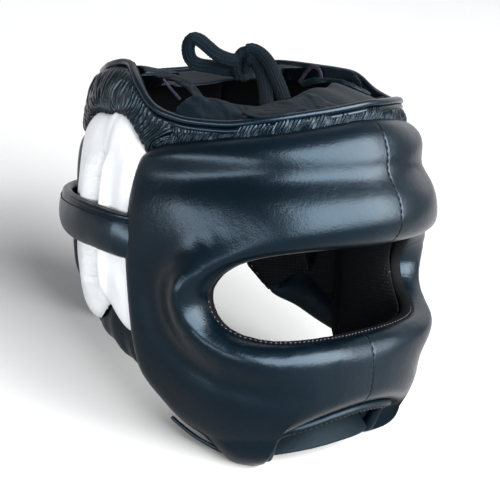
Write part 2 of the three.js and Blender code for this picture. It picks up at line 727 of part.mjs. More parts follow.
function wholeBox() {
  const box = new THREE.Box3();
  for (const solid of Object.values(solids)) {
    const bounds = solid.boundingBox();
    box.expandByPoint(new THREE.Vector3(...bounds.min));
    box.expandByPoint(new THREE.Vector3(...bounds.max));
  }
  return box;
}

const whole = wholeBox();
const middleX = (whole.min.x + whole.max.x) / 2;
const middleY = (whole.min.y + whole.max.y) / 2;

function addSolid(name, solid, look) {
  const mesh = solid.getMesh();
  const geometry = new THREE.BufferGeometry();
  const stride = mesh.numProp;
  const positions = new Float32Array(mesh.vertProperties.length / stride * 3);
  for (let index = 0; index < positions.length / 3; index += 1) {
    for (let axis = 0; axis < 3; axis += 1) {
      positions[index * 3 + axis] = mesh.vertProperties[index * stride + axis];
    }
  }
  geometry.setAttribute("position", new THREE.BufferAttribute(positions, 3));
  geometry.setIndex(Array.from(mesh.triVerts));
  geometry.translate(-middleX, -middleY, -whole.min.z);
  geometry.computeVertexNormals();
  const piece = new THREE.Mesh(geometry, new THREE.MeshStandardMaterial(look));
  piece.name = name;
  group.add(piece);
}

function lookOf(name) {
  if (name.startsWith("ear_pad")) {
    return WHITE_LEATHER;
  }
  if (name.includes("lining")) {
    return MESH_LINING;
  }
  return name.startsWith("lace") ? LACE_BRAID : LEATHER;
}

for (const [name, solid] of Object.entries(solids)) {
  addSolid(name, solid, lookOf(name));
}

export default group;
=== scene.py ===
import math

import bpy
import numpy as np
from mathutils import Matrix, Vector, noise
from mathutils.bvhtree import BVHTree


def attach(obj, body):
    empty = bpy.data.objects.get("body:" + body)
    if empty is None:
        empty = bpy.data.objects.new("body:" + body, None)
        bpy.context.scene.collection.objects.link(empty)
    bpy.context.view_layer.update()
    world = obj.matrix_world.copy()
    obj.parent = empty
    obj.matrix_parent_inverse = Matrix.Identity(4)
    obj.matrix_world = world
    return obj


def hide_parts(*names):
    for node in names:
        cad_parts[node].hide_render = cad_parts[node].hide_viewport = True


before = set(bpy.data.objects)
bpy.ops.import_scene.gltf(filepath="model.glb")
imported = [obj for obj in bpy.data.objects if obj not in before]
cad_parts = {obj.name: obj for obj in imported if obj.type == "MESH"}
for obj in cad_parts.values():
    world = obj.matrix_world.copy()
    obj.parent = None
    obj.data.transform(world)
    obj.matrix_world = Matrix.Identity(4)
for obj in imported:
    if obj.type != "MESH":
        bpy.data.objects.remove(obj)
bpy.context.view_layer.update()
bpy.ops.object.select_all(action="DESELECT")

# Viewpoint
# The headgear stands by itself, leaned back on its jaw tips and nape, on a plain pale floor.
# The camera is leaned back with it, so the picture shows it upright as on a head.
LEAN = math.radians(21.5)
REST_SHIFT = (0.0, 68.9147, 19.3875)


def rest_direction(x, y, z):
    """A direction as worn, leaned back with the headgear."""
    return Vector((x, y * math.cos(LEAN) + z * math.sin(LEAN), -y * math.sin(LEAN) + z * math.cos(LEAN)))


def rest_point(x, y, z):
    """A place as worn in millimetres, brought to its place at rest in metres."""
    return (rest_direction(x, y, z) - Vector(REST_SHIFT)) / 1000


def as_worn(points):
    """Points at rest in metres, brought back to their places as worn in millimetres."""
    x, y, z = (points * 1000 + REST_SHIFT).T
    return x, y * math.cos(LEAN) - z * math.sin(LEAN), y * math.sin(LEAN) + z * math.cos(LEAN)


def as_rest(x, y, z):
    """Places as worn in millimetres, brought to points at rest in metres."""
    back = y * math.cos(LEAN) + z * math.sin(LEAN)
    up = -y * math.sin(LEAN) + z * math.cos(LEAN)
    return (np.stack([x, back, up], 1) - REST_SHIFT) / 1000


def in_scene(name, data):
    """A new object with this data, in the scene."""
    thing = bpy.data.objects.new(name, data)
    bpy.context.scene.collection.objects.link(thing)
    return thing


VIEW_ANGLE = math.radians(47)
VIEW_RISE = math.radians(9)
VIEW_DISTANCE = 1000
VIEW_HEIGHT = 127.4
level = math.cos(VIEW_RISE)
towards = Vector((-math.sin(VIEW_ANGLE) * level, -math.cos(VIEW_ANGLE) * level, math.sin(VIEW_RISE)))
across = Vector((math.cos(VIEW_ANGLE), -math.sin(VIEW_ANGLE), 0))
upward = towards.cross(across)
eye = Vector((0, 0, VIEW_HEIGHT)) + VIEW_DISTANCE * towards
camera_data = bpy.data.cameras.new("camera")
camera_data.sensor_width = 36
camera_data.lens = 110.77
camera_data.shift_x = -0.028
camera = in_scene("camera", camera_data)
turned = Matrix([rest_direction(*axis) for axis in (across, upward, towards)]).transposed()
camera.matrix_world = Matrix.Translation(rest_point(*eye)) @ turned.to_4x4()
bpy.context.scene.camera = camera

# Floor and light
# A plain pale studio floor, one broad soft box in front above the forehead, a low one beside the right cheek,
# and weak ones at the left and high behind. The white surround gives the leather its pale rims.
def add_node(nodes, kind, **values):
    """A new node with these values on its sockets, where an underscore stands for a space."""
    node = nodes.new("ShaderNode" + kind)
    for socket, value in values.items():
        node.inputs[socket.replace("_", " ")].default_value = value
    return node


def add_ramp(nodes, *stops):
    """A ramp between two stops, each a position and a colour."""
    tone = add_node(nodes, "ValToRGB")
    for element, (position, colour) in zip(tone.color_ramp.elements, stops):
        element.position = position
        element.color = (*colour, 1)
    return tone


bpy.ops.mesh.primitive_plane_add(size=14, location=(0, 0, 0))
floor = bpy.context.object
floor.name = "floor"
floor_paint = bpy.data.materials.new("pale_floor")
floor_paint.use_nodes = True
floor_nodes = floor_paint.node_tree.nodes
floor_shader = floor_nodes["Principled BSDF"]
floor_shader.inputs["Roughness"].default_value = 0.9
floor_shader.inputs["Specular IOR Level"].default_value = 0.1
floor_place = add_node(floor_nodes, "TexCoord")
floor_mottle = add_node(floor_nodes, "TexNoise", Scale=3)
floor_split = add_node(floor_nodes, "SeparateXYZ")
floor_reach = add_node(floor_nodes, "MapRange", From_Min=-1.3, From_Max=-0.35, To_Min=0.0, To_Max=0.9)
floor_reach.interpolation_type = "SMOOTHSTEP"
floor_sum = add_node(floor_nodes, "Math")
floor_sum.operation = "MULTIPLY_ADD"
floor_sum.inputs[1].default_value = 0.1
floor_tone = add_ramp(floor_nodes, (0, (0.05, 0.0505, 0.051)), (1, (0.205, 0.205, 0.205)))
floor_links = floor_paint.node_tree.links
floor_links.new(floor_place.outputs["Object"], floor_mottle.inputs["Vector"])
floor_links.new(floor_place.outputs["Object"], floor_split.inputs["Vector"])
floor_links.new(floor_split.outputs["Y"], floor_reach.inputs["Value"])
floor_links.new(floor_mottle.outputs["Fac"], floor_sum.inputs[0])
floor_links.new(floor_reach.outputs["Result"], floor_sum.inputs[2])
floor_links.new(floor_sum.outputs["Value"], floor_tone.inputs["Fac"])
floor_links.new(floor_tone.outputs["Color"], floor_shader.inputs["Base Color"])
floor.data.materials.append(floor_paint)

bpy.context.scene.view_settings.view_transform = "Standard"
surround = bpy.data.worlds.new("white_surround")
surround.use_nodes = True
surround.node_tree.nodes["Background"].inputs["Color"].default_value = (0.90, 0.95, 1.0, 1)
surround.node_tree.nodes["Background"].inputs["Strength"].default_value = 0.6
bpy.context.scene.world = surround


def soft_box(name, place, aim, width, height, power):
    light = bpy.data.lights.new(name, "AREA")
    light.shape = "RECTANGLE"
    light.size = width
    light.size_y = height
    light.energy = power
    lamp = in_scene(name, light)
    lamp.location = place
    lamp.rotation_euler = (Vector(aim) - Vector(place)).to_track_quat("-Z", "Y").to_euler()


soft_box("soft_box_front", (0.44, -2.52, 1.92), (0, 0, 0.13), 5.0, 2.7, 1400)
soft_box("soft_box_right", (-1.04, -0.10, 0.2), (0, 0, 0.12), 1.5, 0.34, 32)
soft_box("soft_box_left", (0.97, 0.26, 0.45), (0, 0, 0.13), 0.8, 0.5, 1.3)
soft_box("soft_box_behind", (0.9, 1.9, 2.3), (0, 0.2, 0), 2.4, 1.6, 28)

# Lace
# One soft black braided lace, oval in section and ribbed along its length, tied above the forehead opening.
# A bow loop leans back from the knot, and both ends run down into the channels of the front flap.
LACE_WIDTH = 8.4
LACE_DEPTH = 3.6
LACE_RIBS = 16
LACE_TURNS = 64
LACE_ROUTES = {
    "lace_loop": [
        (-13.8, 8.8, 250.2), (-16.8, 12.1, 250.2), (-19.3, 15.8, 251.4), (-22.4, 20.4, 253.9),
        (-25.2, 25.2, 258.3), (-27.8, 29.7, 262.4), (-29.8, 33.6, 263.4), (-31.4, 36.1, 260.4),
        (-31.6, 36.5, 255), (-30.1, 35.2, 250), (-26.5, 32.1, 247.1), (-21.4, 26.4, 245.8),
        (-17.1, 19.9, 244.3), (-13.9, 14.9, 243.7), (-11.6, 11, 243.7),
    ],
    "lace_end_left": [
        (-10.1, 6.2, 255.8), (-7.7, 2.3, 256.5), (-7.1, -4.9, 253.5), (-9.6, -14.1, 247.5),
        (-13.9, -23.2, 239.8), (-18.6, -31.6, 232.9), (-23.2, -38.8, 226.6),
    ],
    "lace_end_right": [
        (-10.5, 4, 250.8), (-9.6, -2, 248.4), (-12.3, -9.3, 243.1), (-18.5, -17.6, 236.1),
        (-25.2, -25.2, 229.8), (-34.2, -34, 223.9),
    ],
}


def unit(vectors):
    return vectors / np.linalg.norm(vectors, axis=1)[:, None]


def lengths_along(line):
    """The distance along the line at each of its points."""
    return np.concatenate([[0], np.cumsum(np.linalg.norm(np.diff(line, axis=0), axis=1))])


def smooth_line(points, step):
    """Points every step along a smooth curve through the given ones."""
    points = np.array(points, float)
    ends = np.vstack([2 * points[0] - points[1], points, 2 * points[-1] - points[-2]])
    fine = []
    for a, b, c, d in zip(ends, ends[1:], ends[2:], ends[3:]):
        for t in np.linspace(0, 1, 24, endpoint=False):
            bend = (2 * a - 5 * b + 4 * c - d) * t * t
            twist = (3 * b - a - 3 * c + d) * t ** 3
            fine.append(0.5 * (2 * b + (c - a) * t + bend + twist))
    fine = np.array(fine + [points[-1]])
    along = lengths_along(fine)
    count = max(2, int(round(along[-1] / step)) + 1)
    wanted = np.linspace(0, along[-1], count)
    return np.stack([np.interp(wanted, along, fine[:, k]) for k in range(3)], 1)


def select_only(piece):
    bpy.ops.object.select_all(action="DESELECT")
    piece.select_set(True)
    bpy.context.view_layer.objects.active = piece


def finish_faces(piece):
    """Faces turned outwards and shaded smooth."""
    select_only(piece)
    bpy.ops.object.mode_set(mode="EDIT")
    bpy.ops.mesh.select_all(action="SELECT")
    bpy.ops.mesh.normals_make_consistent(inside=False)
    bpy.ops.object.mode_set(mode="OBJECT")
    bpy.ops.object.shade_smooth()


def tube_faces(rows, turns, closed=False):
    """Faces between the rings of a tube, and from its last ring to its first where it is closed."""
    faces = []
    for row in range(rows if closed else rows - 1):
        ring, following = row * turns, (row + 1) % rows * turns
        for column in range(turns):
            beside = (column + 1) % turns
            faces.append((ring + column, ring + beside, following + beside, following + column))
    return faces


def swept_mesh(name, line, outline, face, turns):
    """A mesh whose section outline(along, turn, length) follows the line, its width square to the face."""
    tangents = unit(np.gradient(line, axis=0))
    sides = unit(np.cross(tangents, np.asarray(face)))
    outs = np.cross(sides, tangents)
    along = lengths_along(line)
    points, places = [], []
    for row, centre in enumerate(line):
        for column in range(turns):
            wide, deep = outline(along[row], 2 * math.pi * column / turns, along[-1])
            points.append(tuple(centre + sides[row] * wide + outs[row] * deep))
    faces = tube_faces(len(line), turns)
    for row in range(len(line) - 1):
        for column in range(turns):
            for r, c in ((0, 0), (0, 1), (1, 1), (1, 0)):
                places.append((along[row + r] * 1000, (column + c) / turns))
    for row in (0, len(line) - 1):
        ring = [row * turns + column for column in range(turns)]
        faces.append(ring[::-1] if row == 0 else ring)
        places += [(along[row] * 1000, column / turns) for column in range(turns)]
    mesh = bpy.data.meshes.new(name)
    mesh.from_pydata(points, [], faces)
    layer = mesh.uv_layers.new(name="along")
    layer.data.foreach_set("uv", np.array(places, float).ravel())
    piece = in_scene(name, mesh)
    finish_faces(piece)
    return piece


def new_material(name, colours, colour_scale, roughness, specular, tint=(1, 1, 1)):
    """A leather or cloth base: a mottled colour and a mottled roughness on object coordinates."""
    material = bpy.data.materials.new(name)
    material.use_nodes = True
    nodes, links = material.node_tree.nodes, material.node_tree.links
    shader = nodes["Principled BSDF"]
    shader.inputs["Specular IOR Level"].default_value = specular
    shader.inputs["Specular Tint"].default_value = (*tint, 1)
    place = add_node(nodes, "TexCoord")
    place.name = "place"
    mottle = add_node(nodes, "TexNoise", Scale=colour_scale, Detail=4)
    tone = add_ramp(nodes, (0.35, colours[0]), (0.68, colours[1]))
    dull = add_node(nodes, "MapRange", To_Min=roughness[0], To_Max=roughness[1])
    links.new(place.outputs["Object"], mottle.inputs["Vector"])
    links.new(mottle.outputs["Fac"], tone.inputs["Fac"])
    links.new(tone.outputs["Color"], shader.inputs["Base Color"])
    links.new(mottle.outputs["Fac"], dull.inputs["Value"])
    links.new(dull.outputs["Result"], shader.inputs["Roughness"])
    return material


def add_bump(material, height, strength, distance):
    """One more bump on top of what the shader already has."""
    nodes, links = material.node_tree.nodes, material.node_tree.links
    normal = nodes["Principled BSDF"].inputs["Normal"]
    bump = add_node(nodes, "Bump", Strength=strength, Distance=distance)
    links.new(height, bump.inputs["Height"])
    if normal.links:
        links.new(normal.links[0].from_socket, bump.inputs["Normal"])
    links.new(bump.outputs["Normal"], normal)


def add_map(material, map_name):
    """The node that reads one of the piece's own maps."""
    where = add_node(material.node_tree.nodes, "UVMap")
    where.uv_map = map_name
    return where


def braid_material():
    """Black cord with strands that cross at a slant."""
    material = new_material(
        "lace_braid", ((0.0002, 0.0006, 0.0010), (0.0004, 0.0011, 0.0018)), 900, (0.36, 0.48), 0.11,
        (0.45, 0.72, 1.0))
    nodes, links = material.node_tree.nodes, material.node_tree.links
    along = add_map(material, "along")
    for lean in (1, -1):
        slanted = add_node(nodes, "Mapping", Rotation=(0, 0, 0.6 * lean), Scale=(1.0, 14, 1))
        strands = add_node(nodes, "TexWave", Scale=0.55, Distortion=0.4)
        links.new(along.outputs["UV"], slanted.inputs["Vector"])
        links.new(slanted.outputs["Vector"], strands.inputs["Vector"])
        add_bump(material, strands.outputs["Fac"], 0.9, 0.0004)
    return material


def lace_outline(along, turn, length):
    """Oval section in metres with ribs along it, its weave rising and falling along the ribs."""
    rib = math.floor(LACE_RIBS * turn / (2 * math.pi) + 0.5)
    crest = abs(math.cos(LACE_RIBS * turn / 2))
    weave = math.cos(along * 1000 * 3.3 + rib * math.pi)
    rise = 0.34 * crest + 0.12 * weave * crest - 0.2
    ends = min(1, 0.75 + along / 0.004, 0.75 + (length - along) / 0.004)
    wide = (LACE_WIDTH / 2 + rise) / 1000 * math.cos(turn)
    deep = (LACE_DEPTH / 2 + rise) / 1000 * math.sin(turn)
    return wide * ends, deep * ends


def dressed(piece, node, material):
    """Gives the piece its material, the solid that it replaces, if any."""
    piece.data.materials.append(material)
    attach(piece, "root")
    if node:
        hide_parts(node)


lace_braid = braid_material()
lace_face = rest_direction(*towards)
for lace_name, route in LACE_ROUTES.items():
    line = smooth_line([rest_point(*p) for p in route], 0.00045)
    strand = swept_mesh(lace_name + "_braid", line, lace_outline, lace_face, LACE_TURNS)
    dressed(strand, lace_name, lace_braid)

# The knot is the lace wrapped nearly twice round its own strands and pulled tight.
KNOT_PLACE = (-10, 8.5, 247)
KNOT_WRAPS = 1.7
KNOT_HALF_WIDTH = 3.6
KNOT_HALF_HEIGHT = 6.6
wraps = []
for share in np.linspace(0, 1, 40):
    turn = 2 * math.pi * KNOT_WRAPS * share
    side = KNOT_HALF_WIDTH * math.cos(turn)
    rise = KNOT_HALF_HEIGHT * math.sin(turn)
    wraps.append(np.add(KNOT_PLACE, (side * 0.72, -side * 0.68 - 0.8 + 1.6 * share, rise + 1.5 - 3 * share)))
knot_line = smooth_line([rest_point(*p) for p in wraps], 0.0006)
knot = swept_mesh("lace_knot_braid", knot_line, lace_outline, rest_direction(0.4, 0.9, 0.2), LACE_TURNS)
dressed(knot, "lace_knot", lace_braid)

# Face shell
# The main padded piece: forehead pad, brow roll, wide eye slot, cheeks, face bar and jaw tips in one ring.
# Smooth navy leather over thick foam, sewn together at the middle of the forehead and of the bar.
MM_PER_DEGREE = 1.75
SLOT_HALF = [
    (0, 142), (22, 142), (43, 140), (56, 134), (63, 125), (66.5, 113), (64, 101), (57, 92), (46, 87),
    (37, 85.6), (27, 85), (14, 84.2), (0, 84),
]
SLOT_LINE = SLOT_HALF + [(-a, h) for a, h in SLOT_HALF[-2::-1]]
SLOT_CORNER = 64
SLOT_CORNER_SPREAD = 14
SEAM_CUTS = (-0.002, -0.0008, -0.0003, 0, 0.0003, 0.0008, 0.002)
REAR_EDGE_REACH = 9
JAW_TIP = (53.5, -43.5)
JAW_TIP_FULLNESS = 0.3
JAW_TIP_DROP = 1.4
NAVY = ((0.00005, 0.0008, 0.0016), (0.0001, 0.0013, 0.0026))


def piece_from(node, name, levels):
    """The piece's own mesh, taken from its solid and smoothed."""
    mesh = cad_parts[node].data.copy()
    mesh.name = name
    mesh.materials.clear()
    piece = in_scene(name, mesh)
    select_only(piece)
    bpy.ops.object.mode_set(mode="EDIT")
    bpy.ops.mesh.select_all(action="SELECT")
    bpy.ops.mesh.customdata_custom_splitnormals_clear()
    bpy.ops.mesh.remove_doubles(threshold=0.00001)
    bpy.ops.mesh.tris_convert_to_quads(face_threshold=math.radians(70), shape_threshold=math.radians(70))
    bpy.ops.object.mode_set(mode="OBJECT")
    smoother = piece.modifiers.new("smoother", "SUBSURF")
    smoother.levels = levels
    smoother.render_levels = levels
    bpy.ops.object.modifier_apply(modifier=smoother.name)
    bpy.ops.object.shade_smooth()
    return piece


def mesh_points(piece):
    points = np.empty(3 * len(piece.data.vertices))
    piece.data.vertices.foreach_get("co", points)
    normals = np.empty(3 * len(piece.data.vertices))
    piece.data.vertices.foreach_get("normal", normals)
    return points.reshape(-1, 3), normals.reshape(-1, 3)


def give_points(piece, points):
    piece.data.vertices.foreach_set("co", np.asarray(points).ravel())
    piece.data.update()


def set_down(piece, points):
    """Gives the piece these points, with none of them below the floor that it stands on."""
    points[:, 2] = np.maximum(points[:, 2], 0)
    give_points(piece, points)


def push(piece, heights):
    """Moves each point along its normal by its height in millimetres."""
    points, normals = mesh_points(piece)
    give_points(piece, points + normals * (np.asarray(heights)[:, None] / 1000))


def around_head(points):
    """Degrees from the middle of the face to the wearer's right, then height and distance out."""
    x, y, z = as_worn(points)
    return np.degrees(np.arctan2(-x, -y)), z, np.hypot(x, y)


def facing_out(piece):
    """For each point of the piece, 1 on the outer side of its wall and -1 on the inner side."""
    points, normals = mesh_points(piece)
    x, y, z = as_worn(points)
    nx, ny = normals[:, 0], normals[:, 1] * math.cos(LEAN) - normals[:, 2] * math.sin(LEAN)
    return (nx * x + ny * y) / np.maximum(np.hypot(x, y), 1)


def on_head(piece):
    """The angle and height of each point of the piece, how far it faces out, and its place as worn."""
    points = mesh_points(piece)[0]
    angle, height, _ = around_head(points)
    return angle, height, facing_out(piece), as_worn(points)


def hill(value, middle, width):
    return np.exp(-((value - middle) / width) ** 2)


def ramp(value):
    return np.clip(value, 0, 1)


def cloth_noise(*lanes):
    return np.array([noise.noise(Vector(place)) for place in zip(*np.broadcast_arrays(*lanes))])


def cut_lines(piece, offsets):
    """Extra edges along the middle of the piece, for a seam."""
    select_only(piece)
    bpy.ops.object.mode_set(mode="EDIT")
    for offset in offsets:
        bpy.ops.mesh.select_all(action="SELECT")
        bpy.ops.mesh.bisect(plane_co=(offset, 0, 0), plane_no=(1, 0, 0))
    bpy.ops.object.mode_set(mode="OBJECT")


def grained(material, scale, strength):
    """Fine grain all over the leather."""
    nodes, links = material.node_tree.nodes, material.node_tree.links
    grain = add_node(nodes, "TexVoronoi", Scale=scale)
    grain.feature = "SMOOTH_F1"
    links.new(nodes["place"].outputs["Object"], grain.inputs["Vector"])
    add_bump(material, grain.outputs["Distance"], strength, 0.00012)


def wrinkled(material, strength, distance, **values):
    """Soft wrinkles all over the leather, from noise with these values."""
    nodes, links = material.node_tree.nodes, material.node_tree.links
    wrinkles = add_node(nodes, "TexNoise", **values)
    links.new(nodes["place"].outputs["Object"], wrinkles.inputs["Vector"])
    add_bump(material, wrinkles.outputs["Fac"], strength, distance)


def navy_leather(name, grain, creases, roughness, specular=0.135, colours=NAVY):
    material = new_material(name, colours, 26, roughness, specular, (0.58, 0.80, 1.0))
    grained(material, 1150, grain)
    wrinkled(material, creases, 0.0005, Scale=240, Detail=5, Distortion=1.2)
    wrinkled(material, 0.2, 0.0012, Scale=70, Detail=3)
    return material


def corner_map(piece, name, across, along):
    """A map of the leather in millimetres, from two values on each point."""
    corners = np.empty(len(piece.data.loops), int)
    piece.data.loops.foreach_get("vertex_index", corners)
    layer = piece.data.uv_layers.new(name=name)
    layer.data.foreach_set("uv", np.stack([across[corners], along[corners]], 1).ravel())


def lines_on_map(material, map_name, stretch, lines, fade, strength, distance):
    """A bump of lines drawn on a stretched map of the leather, fading by the map's second value."""
    nodes, links = material.node_tree.nodes, material.node_tree.links
    where = add_map(material, map_name)
    drawn = add_node(nodes, "Mapping", Scale=stretch)
    apart = add_node(nodes, "SeparateXYZ")
    depth = add_node(nodes, "Math")
    depth.operation = "MULTIPLY"
    links.new(where.outputs["UV"], drawn.inputs["Vector"])
    links.new(drawn.outputs["Vector"], lines.inputs["Vector"])
    links.new(where.outputs["UV"], apart.inputs["Vector"])
    links.new(apart.outputs["Y"], fade.inputs["Value"])
    links.new(lines.outputs["Fac"], depth.inputs[0])
    links.new(fade.outputs["Result"], depth.inputs[1])
    add_bump(material, depth.outputs["Value"], strength, distance)


def creased(material, map_name, middle, spread, scale, strength):
    """Fine creases across a seam or roll: long along the second value of the map, close along the first."""
    nodes = material.node_tree.nodes
    lines = add_node(nodes, "TexNoise", Scale=1, Detail=3, Distortion=0.6)
    fade = add_node(nodes, "MapRange", From_Min=middle + spread, From_Max=middle)
    fade.interpolation_type = "SMOOTHSTEP"
    lines_on_map(material, map_name, (scale, scale * 0.12, 1), lines, fade, strength, 0.0012)


def stitch_row(name, line, length, gap, thread, material):
    """A row of stitches along a line of points in metres: one stitch, repeated and bent along the line."""
    path_data = bpy.data.curves.new(name + "_path", "CURVE")
    path_data.dimensions = "3D"
    spline = path_data.splines.new("POLY")
    spline.points.add(len(line) - 1)
    for point, place in zip(spline.points, line):
        point.co = (*place, 1)
    path = in_scene(name + "_path", path_data)
    bpy.ops.object.select_all(action="DESELECT")
    bpy.ops.mesh.primitive_uv_sphere_add(segments=8, ring_count=6, radius=0.5)
    row = bpy.context.object
    row.name = name
    row.data.name = name
    bpy.ops.object.mode_set(mode="EDIT")
    bpy.ops.mesh.select_all(action="SELECT")
    bpy.ops.transform.rotate(value=math.pi / 2, orient_axis="Y", center_override=(0, 0, 0))
    bpy.ops.transform.resize(value=(length, thread, thread), center_override=(0, 0, 0))
    bpy.ops.transform.translate(value=(length / 2, 0, 0))
    bpy.ops.object.mode_set(mode="OBJECT")
    bpy.ops.object.shade_smooth()
    repeat = row.modifiers.new("repeat", "ARRAY")
    repeat.fit_type = "FIT_CURVE"
    repeat.curve = path
    repeat.use_relative_offset = False
    repeat.use_constant_offset = True
    repeat.constant_offset_displace = (length + gap, 0, 0)
    bend = row.modifiers.new("bend", "CURVE")
    bend.object = path
    bpy.ops.object.modifier_apply(modifier="repeat")
    bpy.ops.object.modifier_apply(modifier="bend")
    bpy.data.objects.remove(path)
    dressed(row, None, material)
    return row


def outer_side(pieces, places, lift):
    """Points on the outer side of some pieces at each angle and height, lifted off it by lift millimetres."""
    around = bpy.context.evaluated_depsgraph_get()
    trees = [BVHTree.FromObject(piece, around) for piece in pieces]
    found = []
    for angle, height in places:
        turn = math.radians(angle)
        outward = Vector((-math.sin(turn), -math.cos(turn), 0))
        start = rest_point(*(outward * 260 + Vector((0, 0, height))))
        hits = []
        for tree in trees:
            place, normal, _, far = tree.ray_cast(start, -rest_direction(*outward))
            if place is not None and far < 0.22:
                hits.append((far, place + normal * lift / 1000))
        if hits:
            found.append(min(hits, key=lambda hit: hit[0])[1])
    return found


def eased(line, passes):
    """The line with its small jumps smoothed out, its ends kept."""
    line = np.array(line, float)
    for _ in range(passes):
        line[1:-1] = (line[:-2] + line[1:-1] + line[2:]) / 3
    return line


def outward_along(line):
    """The direction away from the middle of the head at each point of a line."""
    x, y, z = as_worn(np.asarray(line))
    return unit(as_rest(x, y, z * 0) - as_rest(x * 0, y * 0, z * 0))


def round_section(radius):
    return lambda along, turn, length: (radius / 1000 * math.cos(turn), radius / 1000 * math.sin(turn))


shell = piece_from("face_shell", "face_shell_leather", 2)
cut_lines(shell, SEAM_CUTS)
shell_points = mesh_points(shell)[0]
angle, height, out, (x, y, z) = on_head(shell)
slot_points = smooth_line([(MM_PER_DEGREE * a, h, 0) for a, h in SLOT_LINE], 1.0)
spots = np.stack([MM_PER_DEGREE * angle, height], 1)
from_slot = np.full(len(spots), 1e9)
slot_share = np.zeros(len(spots))
for index, place in enumerate(slot_points[:, :2]):
    reach = np.hypot(*(spots - place).T)
    nearer = reach < from_slot
    from_slot[nearer] = reach[nearer]
    slot_share[nearer] = index
slot_ring = []
for index in range(len(slot_points)):
    beside = (np.abs(slot_share - index) < 1.6) & (from_slot < 2.4)
    if beside.any():
        slot_ring.append(shell_points[beside].mean(0))
at_corner = hill(np.abs(angle), SLOT_CORNER, SLOT_CORNER_SPREAD)
seam = np.where(y < 0, -0.4 * hill(x, 0, 0.35), 0)
pucker = 0.6 * cloth_noise(slot_share * 0.32, from_slot * 0.05, 2.0) * hill(from_slot, 16, 11) * at_corner
soft = 0.5 * cloth_noise(x * 0.03, y * 0.03, z * 0.03)
push(shell, ramp(4 * out) * (seam + pucker + soft))
x, y, z = as_worn(mesh_points(shell)[0])
rear = ramp((np.abs(angle) - 74) / 18) * ramp((z - 36) / 30) * ramp((214 - z) / 20)
y = y + REAR_EDGE_REACH * rear * rear * (3 - 2 * rear)
tip = ramp((24 - z) / 15)
x = x + JAW_TIP_FULLNESS * tip * (x - JAW_TIP[0] * np.sign(x))
y = y + JAW_TIP_FULLNESS * tip * (y - JAW_TIP[1])
z = z - JAW_TIP_DROP * tip
set_down(shell, as_rest(x, y, z))
shell_leather = navy_leather("shell_leather", 0.4, 0.26, (0.23, 0.37))
corner_map(shell, "slot", slot_share, from_slot + 45 * (1 - ramp(1.5 * at_corner)))
creased(shell_leather, "slot", 8, 26, 0.4, 0.12)
dressed(shell, "face_shell", shell_leather)

DARK_THREAD = ((0.0004, 0.0006, 0.0008), (0.0012, 0.0016, 0.0020))
thread_dark = new_material("dark_thread", DARK_THREAD, 1500, (0.6, 0.75), 0.05)
for place_name, low, high in (("forehead", 147, 212), ("bar", 44, 80)):
    line = outer_side([shell], [(0, h) for h in np.linspace(low, high, 60)], 0.2)
    stitch_row("seam_stitches_" + place_name, line, 0.0026, 0.0014, 0.0009, thread_dark)

# A thin piping closes the lower edge of the jaw on each side.
SIDES = ((1, "right"), (-1, "left"))
JAW_EDGE = [(-84, -0.3, 32.4), (-83, -4.6, 29.4), (-80.5, -17.9, 22.4), (-73, -26.8, 15.6), (-63, -32.5, 9.6)]
for side, word in SIDES:
    line = smooth_line([rest_point(side * x, y, z) for x, y, z in JAW_EDGE], 0.001)
    piping = swept_mesh("jaw_piping_" + word, line, round_section(1.3), outward_along(line), 12)
    dressed(piping, None, shell_leather)

# Face lining
# Dark mesh cloth glued to the inner side of the shell, with fine pale dots where its holes are.
# It is turned outwards round the slot and sewn along the edge of the leather with a pale thread.
STRIP_DEPTH = 4.2
STRIP_HALF_THICKNESS = 1.5
STRIP_SET_IN = 4.5
STRIP_TURNS = 12
LAST_SLOT_STITCH = -48


def worn_map(piece):
    """A cloth map in metres: round the head, and up."""
    angle, height, _ = around_head(mesh_points(piece)[0])
    corner_map(piece, "worn", angle * 0.0018, height / 1000)


def mesh_lining_material():
    """Dark knitted mesh with small pale dots in rows."""
    material = new_material(
        "mesh_lining", ((0.0006, 0.0007, 0.0011), (0.0016, 0.0018, 0.0026)), 300, (0.7, 0.9), 0.06)
    nodes, links = material.node_tree.nodes, material.node_tree.links
    cloth = add_map(material, "worn")
    holes = add_node(nodes, "TexVoronoi", Scale=440, Randomness=0.12)
    dots = add_ramp(nodes, (0.07, (0.020, 0.019, 0.028)), (0.16, (0.0003, 0.0005, 0.0007)))
    knit = add_node(nodes, "TexVoronoi", Scale=900)
    links.new(cloth.outputs["UV"], holes.inputs["Vector"])
    links.new(holes.outputs["Distance"], dots.inputs["Fac"])
    links.new(dots.outputs["Color"], nodes["Principled BSDF"].inputs["Base Color"])
    links.new(cloth.outputs["UV"], knit.inputs["Vector"])
    add_bump(material, knit.outputs["Distance"], 0.5, 0.0004)
    return material


def line_faces(piece, material, inside):
    """Gives a second material to the faces whose points are all inside."""
    piece.data.materials.append(material)
    for face in piece.data.polygons:
        face.material_index = int(all(inside[corner] for corner in face.vertices))


